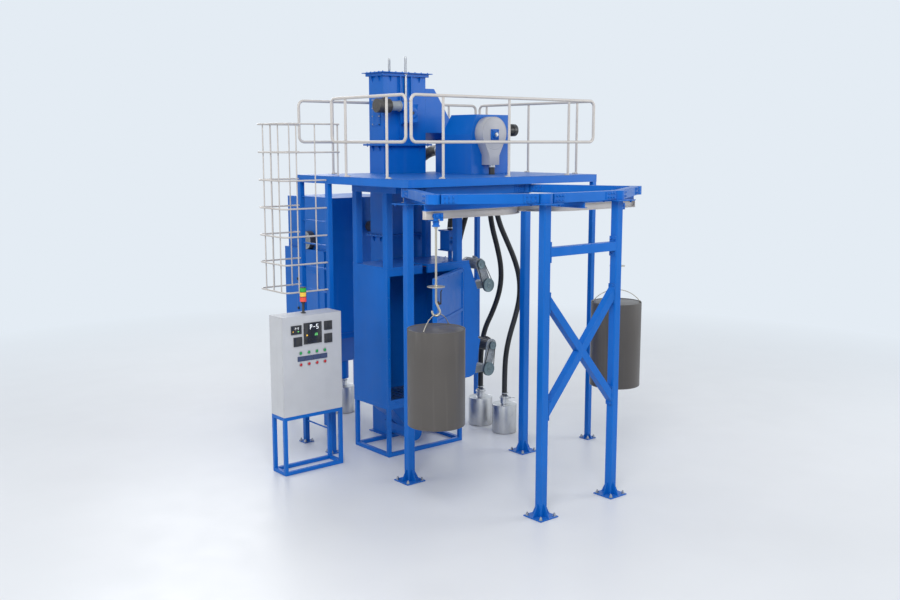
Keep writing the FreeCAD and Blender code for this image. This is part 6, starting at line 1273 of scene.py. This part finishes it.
class BinsOperator(bpy.types.Operator):
    """Make the three bins for spent shot, with their clamp rings and levers"""

    bl_idname = "blaster.bins"
    bl_label = "Bins"

    def execute(self, context):
        can = round_bar("bin", (0, 0, 0.2125), 0.178, 0.401, sides=96)
        pick(can, lambda middle, way: way.z > 0.9)
        inset(0.0001, 0.0)
        push((0, 0, 0.004))
        inset(0.004, 0.003)
        inset(0.004, -0.004)
        inset(0.101, 0.010)
        inset(0.009, 0.002)
        push((0, 0, 0.105))
        inset(0.005, 0.0)
        push((0, 0, -0.02))
        pick(can, lambda middle, way: way.z < -0.9)
        inset(0.004, 0.008)
        inset(0.006, 0.0)
        push((0, 0, 0.006))
        bpy.ops.object.mode_set(mode="OBJECT")
        round_edges(can, 0.0018, 2, 50)
        ring = start("torus", "clamp", (0, 0, 0.5075), (1, 1, 1.1), major_segments=48, minor_segments=12,
                     major_radius=0.066, minor_radius=0.0095)
        lever = bar("lever", (0.060, -0.008, 0.503), (0.135, 0.008, 0.511))
        pick(lever, lambda middle, way: way.x > 0.9)
        push((0.020, 0, -0.006))
        bpy.ops.object.mode_set(mode="OBJECT")
        round_edges(lever, 0.003)
        lug = bar("lug", (0.070, -0.013, 0.496), (0.092, 0.013, 0.519))
        round_edges(lug, 0.003)
        clamp = join("clamp", [ring, lever, lug])
        spots = [(1.43, -0.075, -40), (1.44, 0.465, 25), (0.235, 2.375, 200)]
        places = [Matrix.Translation((x, y, 0)) @ Matrix.Rotation(math.radians(turn), 4, "Z") for x, y, turn in spots]
        finish(copy_to(can, places, "bin_cans"), "bin_steel", replaces=["collecting_bins"])
        finish(copy_to(clamp, places, "bin_clamps"), "bright_steel")
        discard(can, clamp)
        return {"FINISHED"}


SEGMENTS = {"0": "abcdef", "1": "bc", "2": "abged", "3": "abgcd", "5": "afgcd", "7": "abc", "8": "abcdefg",
            "P": "abefg", "-": "g"}


def on_panel(across, rise, out=0.0):
    """A place on the panel's leaf, from its left edge and its foot, standing out by a little."""
    return -2.1 + across, 0.1808 - out, 0.762 + rise


SCREENS = {
    "small": (0.124, 0.275, 1.050, 1.163), "large": (0.309, 0.571, 0.909, 1.180), "left": (0.159, 0.280, 0.895, 1.013),
    "upper": (0.612, 0.729, 1.059, 1.176), "lower": (0.612, 0.729, 0.892, 1.012)}
LAMP_LINE = [0.258, 0.379, 0.497, 0.616]
GREEN_LEVEL, RED_LEVEL, LABEL_LEVEL = 0.802, 0.653, 0.728


class ControlPanelOperator(bpy.types.Operator):
    """Fit the control panel's screens, digits, lamps, label strip, hinges, louvres and glands"""

    bl_idname = "blaster.control_panel"
    bl_label = "Control panel"

    def execute(self, context):
        leaf = "panel_leaf"
        frames, panes = [], []
        for left, right, low, high in SCREENS.values():
            x0, front, z0 = on_panel(left, low, 0.014)
            x1, back, z1 = on_panel(right, high)
            made = bar("screen", (x0, front, z0), (x1, back, z1))
            pick(made, lambda middle, way: way.y < -0.9)
            inset(0.006)
            inset(0.003, -0.003)
            bpy.ops.object.mode_set(mode="OBJECT")
            frames.append(round_edges(made, 0.0015))
        finish(join("screen_frames", frames), "display_glass", leaf, replaces=["panel_displays"])
        white = self.number("P-5", 0.398, 1.092, 0.062) + self.number("P-5", 0.180, 1.112, 0.027)
        finish(join("white_digits", white), "digit_white", leaf)
        green = self.number("20", 0.470, 1.008, 0.030) + self.number("20", 0.218, 1.078, 0.013)
        finish(join("green_digits", green), "digit_green", leaf)
        dot = disc("dot", 0.0095, [(0.0095, 0.0024), (0.008, 0.003)], 20, 0)
        places = [at(*on_panel(0.352, 1.022, 0.0125), facing="-y"), at(*on_panel(0.150, 1.088, 0.0125), "-y", scale=0.6)]
        finish(copy_to(dot, places, "amber_lights"), "digit_amber", leaf)
        key = disc("key", 0.012, [(0.012, 0.0035), (0.010, 0.0045)], 20, 0)
        places = [at(*on_panel(across, 0.955, 0.011), facing="-y") for across in along(0.345, 0.535, 0.047)]
        finish(copy_to(key, places, "screen_keys"), "black_enamel", leaf)
        discard(dot, key)
        self.lamps(leaf)
        self.fittings(leaf)
        return {"FINISHED"}

    def number(self, text, across, rise, height):
        """Segment digits that stand a little in front of a screen."""
        x, front, z = on_panel(across, rise, 0.0130)
        wide, line, parts = height * 0.52, height * 0.13, []
        for sign in text:
            half = z + height / 2
            spots = {
                "a": (x, z + height - line, x + wide, z + height), "g": (x, half - line / 2, x + wide, half + line / 2),
                "d": (x, z, x + wide, z + line), "f": (x, half, x + line, z + height),
                "b": (x + wide - line, half, x + wide, z + height), "e": (x, z, x + line, half),
                "c": (x + wide - line, z, x + wide, half)}
            for segment in SEGMENTS[sign]:
                x0, z0, x1, z1 = spots[segment]
                gap = line * 0.1
                part = bar("segment", (x0 + gap, front, z0 + gap), (x1 - gap, front + 0.0026, z1 - gap))
                parts.append(round_edges(part, line * 0.2, 1))
            x += wide * 1.42
        return parts

    def lamps(self, leaf):
        """Domed push button lamps in bright rims, and the strip of bare label windows between them."""
        rim = disc("rim", 0.0255, [(0.0255, 0.004), (0.023, 0.008), (0.0195, 0.008), (0.019, 0.002)], 40, 0.0006)
        lens = disc("lens", 0.0188, [(0.0188, 0.010), (0.0165, 0.015), (0.012, 0.0185), (0.006, 0.0200)], 32, 0.001)
        spots = [on_panel(across, level) for across in LAMP_LINE for level in (GREEN_LEVEL, RED_LEVEL)]
        places = [at(*spot, facing="-y") for spot in spots]
        finish(copy_to(rim, places, "lamp_rims"), "bright_steel", leaf)
        finish(copy_to(lens, places, "lamp_lenses"), "lamp_lenses", leaf, replaces=["panel_lamps"])
        strip = []
        for left, right in ((0.212, 0.318), (0.322, 0.429), (0.433, 0.541), (0.545, 0.652)):
            x0, front, z0 = on_panel(left, LABEL_LEVEL - 0.032, 0.007)
            x1, back, z1 = on_panel(right, LABEL_LEVEL + 0.032)
            window = bar("window", (x0, front, z0), (x1, back, z1))
            pick(window, lambda middle, way: way.y < -0.9)
            inset(0.006)
            inset(0.002, -0.002)
            bpy.ops.object.mode_set(mode="OBJECT")
            strip.append(round_edges(window, 0.001))
        finish(join("label_windows", strip), "label_blue", leaf)
        discard(rim, lens)

    def fittings(self, leaf):
        """Hinges of the leaf, louvres in the right side and cable glands under the floor."""
        hinge = round_bar("hinge", (0, 0, 0), 0.007, 0.06, sides=20)
        round_edges(hinge, 0.0015)
        places = [at(-2.0925, 0.2045, level) for level in (0.90, 1.40, 1.90)]
        finish(copy_to(hinge, places, "panel_hinges"), "panel_coat")
        slat = bar("slat", (0, 0, 0), (0.004, 0.10, 0.010))
        pick(slat, lambda middle, way: way.z < -0.9)
        bpy.ops.transform.translate(value=(0.0035, 0, 0))
        bpy.ops.object.mode_set(mode="OBJECT")
        places = [Matrix.Translation((-1.2262, 0.29, level)) for level in along(1.02, 1.20, 0.022)]
        finish(copy_to(slat, places, "panel_louvres"), "panel_coat")
        gland = disc("gland", 0.018, [(0.018, 0.012), (0.013, 0.020), (0.009, 0.020), (0.008, 0.012)], 6, 0.001)
        places = [at(x, 0.35, 0.7618, "-z") for x in along(-1.86, -1.46, 0.08)]
        finish(copy_to(gland, places, "cable_glands"), "black_enamel")
        discard(hinge, slat, gland)


class StackLightOperator(bpy.types.Operator):
    """Make the stack light: foot, mast, three ribbed lenses, spacer rings and cap"""

    bl_idname = "blaster.stack_light"
    bl_label = "Stack light"

    def execute(self, context):
        x, y = -1.683, 0.352
        mast = disc("mast", 0.034, [
            (0.034, 0.008), (0.030, 0.010), (0.019, 0.010), (0.017, 0.125), (0.0165, 0.129)], 40, 0.001)
        head = disc("head", 0.030, [(0.030, 0.004), (0.0385, 0.014), (0.0385, 0.021)], 40, 0.001)
        ring = disc("ring", 0.0415, [(0.0415, 0.007), (0.039, 0.0085)], 40, 0.001)
        cap = disc("cap", 0.0415, [(0.0415, 0.006), (0.034, 0.010), (0.01, 0.0118)], 40, 0.001)
        places = ((mast, 2.0403), (head, 2.1690), (ring, 2.2480), (ring, 2.3100), (cap, 2.3655))
        pieces = [copy_to(part, [at(x, y, level)], "stack_part") for part, level in places]
        finish(join("stack_light_body", pieces), "black_enamel", replaces=["stack_light"])
        lenses = []
        for low, high in ((2.1900, 2.2480), (2.2565, 2.3100), (2.3185, 2.3655)):
            lens = round_bar("lens", (x, y, (low + high) / 2), 0.0395, high - low, sides=64)
            pick(lens, lambda middle, way: abs(way.z) < 0.5
                 and int((math.atan2(middle.y - y, middle.x - x) % math.tau) / (math.tau / 64)) % 2 == 0)
            bpy.ops.mesh.extrude_region_shrink_fatten(TRANSFORM_OT_shrink_fatten={"value": 0.0014})
            bpy.ops.object.mode_set(mode="OBJECT")
            lenses.append(lens)
        finish(join("stack_light_lenses", lenses), "beacon_lenses", smooth=20)
        discard(mast, head, ring, cap)
        return {"FINISHED"}


class PlatformOperator(bpy.types.Operator):
    """Set base flanges under the guard rail posts, clamps on the duct and bolts on the shot valve"""

    bl_idname = "blaster.platform"
    bl_label = "Platform fittings"

    def execute(self, context):
        sizes = context.scene.blaster_fasteners
        bolt = hex_bolt("platform_bolt", sizes.head, sizes.head * 0.5)
        flange = disc("post_flange", 0.040, [(0.040, 0.006), (0.024, 0.006), (0.023, 0.016), (0.0175, 0.018)], 32, 0.001)
        spans = (((-1.046, -1.10), (2.096, -1.10), (0.155, 0.5, 0.845)), ((2.14, -1.056), (2.14, 1.311), (0.13, 0.54, 0.93)),
                 ((2.096, 1.355), (-1.075, 1.355), (0.17, 0.5, 0.83)), ((-1.09, 0.525), (-1.09, -1.056), (0.2, 0.76)))
        places = []
        for (x0, y0), (x1, y1), shares in spans:
            for share in shares:
                x, y = x0 + (x1 - x0) * share, y0 + (y1 - y0) * share
                places.append(at(max(-1.069, min(2.119, x)), max(-1.079, min(1.334, y)), 3.7601))
        finish(copy_to(flange, places, "post_flanges"), "handrail_enamel")
        screws = [place @ Matrix.Rotation(turn, 4, "Z") @ Matrix.Translation((0.032, 0, 0.006)) @ Matrix.Scale(0.45, 4)
                  for place in places for turn in (0.785, 2.356, 3.927, 5.498)]
        finish(copy_to(bolt, screws, "post_bolts"), "bright_steel")
        places = []
        for level, way in ((2.584, "z"), (2.966, "-z")):
            places += around((0.593, 0.183), (0.807, 0.397), level, way, 0.107, 0.6)
        finish(copy_to(bolt, places, "valve_bolts"), "blue_enamel")
        lever = bar("valve_lever", (0.612, 0.120, 2.80), (0.640, 0.134, 2.87))
        pick(lever, lambda middle, way: way.z > 0.9)
        push((-0.05, 0, 0.02))
        bpy.ops.object.mode_set(mode="OBJECT")
        finish(round_edges(lever, 0.003), "black_enamel")
        band = disc("duct_band", 0.0835, [(0.0835, 0.022), (0.0805, 0.0225)], 64, 0.001)
        places = [at(0.40, 1.62, 3.30), at(0.40, 1.62, 3.05), at(1.30, 1.26, 4.075, "y")]
        finish(copy_to(band, places, "duct_bands"), "bright_steel")
        discard(bolt, flange, band)
        return {"FINISHED"}


class CabinetOperator(bpy.types.Operator):
    """Fit the blast door's handle, seal and hinge pins, and the cabinet's and hopper's bolts"""

    bl_idname = "blaster.cabinet"
    bl_label = "Cabinet and door"

    def execute(self, context):
        sizes = context.scene.blaster_fasteners
        bolt = hex_bolt("cabinet_bolt", sizes.head, sizes.head * 0.5)
        hinge = Vector((0.628, -0.066, 0))
        swing = Matrix.Translation(hinge) @ Matrix.Rotation(math.radians(33), 4, "Z") @ Matrix.Translation(-hinge)
        plate = disc("handle_plate", 0.030, [(0.030, 0.008), (0.016, 0.008), (0.015, 0.030), (0.012, 0.034)], 32, 0.0015)
        grip = bar("grip", (-0.010, -0.012, 0.030), (0.010, 0.150, 0.044))
        pick(grip, lambda middle, way: way.y > 0.9)
        push((0, 0.030, 0.014))
        bpy.ops.object.mode_set(mode="OBJECT")
        handle = join("handle", [plate, round_edges(grip, 0.005, 3)])
        places = [swing @ at(-0.545, -0.0931, level, "-y") for level in (1.10, 1.62, 2.16)]
        finish(copy_to(handle, places, "door_handles"), "black_enamel", "door_leaf")
        strips = []
        for low, high in (((-0.583, -0.0312, 0.772), (-0.563, -0.0256, 2.472)), ((0.560, -0.0312, 0.772), (0.580, -0.0256, 2.472)),
                          ((-0.563, -0.0312, 0.772), (0.560, -0.0256, 0.792)), ((-0.563, -0.0312, 2.452), (0.560, -0.0256, 2.472))):
            strips.append(round_edges(bar("strip", low, high), 0.002))
        seal = join("seal_part", strips)
        finish(copy_to(seal, [swing], "door_seal"), "seal_rubber", "door_leaf")
        screws = [swing @ place for place in around((-0.566, 0.787), (0.580, 2.457), -0.0931, "-y", 0.24, 0.45)
                  if all(abs((place.translation.z) - level) > 0.05 for level in (1.10, 1.62, 2.16))]
        finish(copy_to(bolt, screws, "door_screws"), "blue_enamel", "door_leaf")
        pin = disc("hinge_pin", 0.0115, [(0.0115, 0.006), (0.009, 0.010), (0.004, 0.010), (0.0035, 0.018)], 20, 0.0008)
        places = [at(0.628, -0.066, level + 0.065) for level in (0.949, 1.619, 2.289)]
        finish(copy_to(pin, places, "hinge_pins"), "bright_steel")
        places = [at(x, -0.0251, level, "-y", scale=0.55) for x in (-0.608,) for level in along(0.80, 2.45, 0.275)]
        places += [at(x, -0.0251, 0.742, "-y", scale=0.55) for x in along(-0.50, 0.50, 0.25)]
        places += [at(x, 0.7651, level, "y", scale=0.6) for x in along(-0.55, 0.58, 0.28) for level in (0.80, 2.45)]
        finish(copy_to(bolt, places, "cabinet_bolts"), "blue_enamel")
        discard(bolt, handle, seal, pin)
        return {"FINISHED"}


class CollectorOperator(bpy.types.Operator):
    """Fit the dust collector's filter doors, band bolts and the fan's grille"""

    bl_idname = "blaster.collector"
    bl_label = "Dust collector"

    def execute(self, context):
        sizes = context.scene.blaster_fasteners
        bolt = hex_bolt("collector_bolt", sizes.head, sizes.head * 0.5)
        places = around((-0.427, 1.818), (0.897, 2.932), 1.3741, "z", sizes.flange_pitch * 1.6, 0.4)
        finish(copy_to(bolt, places, "collector_band_bolts"), "blue_enamel")
        doors, knobs, screws = [], [], []
        knob = disc("knob", 0.022, [(0.022, 0.014), (0.016, 0.018), (0.012, 0.018), (0.010, 0.012)], 24, 0.001)
        for x0, x1, face, way in ((-0.36, 0.20, 2.9250, 1), (0.27, 0.83, 2.9250, 1)):
            door = bar("filter_door", (x0, face, 1.48), (x1, face + 0.004, 2.52))
            pick(door, lambda middle, normal: normal.y > 0.9)
            inset(0.03)
            inset(0.010, -0.002)
            bpy.ops.object.mode_set(mode="OBJECT")
            doors.append(round_edges(door, 0.0015))
            screws += around((x0 + 0.015, 1.495), (x1 - 0.015, 2.505), face + 0.004, "y", 0.2, 0.5)
        finish(join("filter_doors", doors), "blue_enamel")
        finish(copy_to(bolt, screws, "filter_door_bolts"), "bright_steel")
        side = bar("service_door", (-0.4282, 1.98, 1.55), (-0.4200, 2.58, 2.30))
        pick(side, lambda middle, normal: normal.x < -0.9)
        inset(0.03)
        inset(0.010, -0.004)
        bpy.ops.object.mode_set(mode="OBJECT")
        finish(round_edges(side, 0.0015), "blue_enamel")
        knobs = [at(-0.4282, 2.54, level, "-x") for level in (1.70, 2.15)]
        finish(copy_to(knob, knobs, "service_door_knobs"), "black_enamel")
        grille = disc("fan_grille", 0.132, [(0.132, 0.004), (0.118, 0.004)] + [
            (0.118 - 0.013 * step, 0.0005 if step % 2 else 0.0065) for step in range(1, 8)], 48, 0)
        finish(copy_to(grille, [at(-0.4400, 2.285, 2.755, "-x")], "fan_grille"), "grey_enamel")
        discard(bolt, knob, grille)
        return {"FINISHED"}


class MachinePanel(bpy.types.Panel):
    """Lists the machine's colours, sizes and steps in the sidebar"""

    bl_idname = "VIEW3D_PT_blaster"
    bl_label = "Blast machine"
    bl_space_type = "VIEW_3D"
    bl_region_type = "UI"
    bl_category = "Blast machine"

    def draw(self, context):
        scene = context.scene
        for settings in (scene.blaster_stage, scene.blaster_colours, scene.blaster_fasteners):
            column = self.layout.column(align=True)
            for name in settings.bl_rna.properties.keys():
                if name not in ("rna_type", "name"):
                    column.prop(settings, name)
        for step in STEPS:
            self.layout.operator(step.bl_idname)


STEPS = (
    StageOperator, PaintOperator, HosesOperator, GantryOperator, DrumsOperator, TrolleysOperator, DrivesOperator,
    ElevatorOperator, SeparatorOperator, BinsOperator, ControlPanelOperator, StackLightOperator,
    PlatformOperator, CabinetOperator, CollectorOperator)
SETTINGS = {
    "blaster_colours": FinishColours, "blaster_fasteners": FastenerSizes, "blaster_stage": StageSettings}


def register():
    for kind in (*SETTINGS.values(), *STEPS, MachinePanel):
        bpy.utils.register_class(kind)
    for name, kind in SETTINGS.items():
        setattr(bpy.types.Scene, name, bpy.props.PointerProperty(type=kind))


def unregister():
    for name in SETTINGS:
        delattr(bpy.types.Scene, name)
    for kind in reversed((*SETTINGS.values(), *STEPS, MachinePanel)):
        bpy.utils.unregister_class(kind)


def main():
    register()
    for step in STEPS:
        group, name = step.bl_idname.split(".")
        getattr(getattr(bpy.ops, group), name)()


if __name__ == "__main__":
    main()
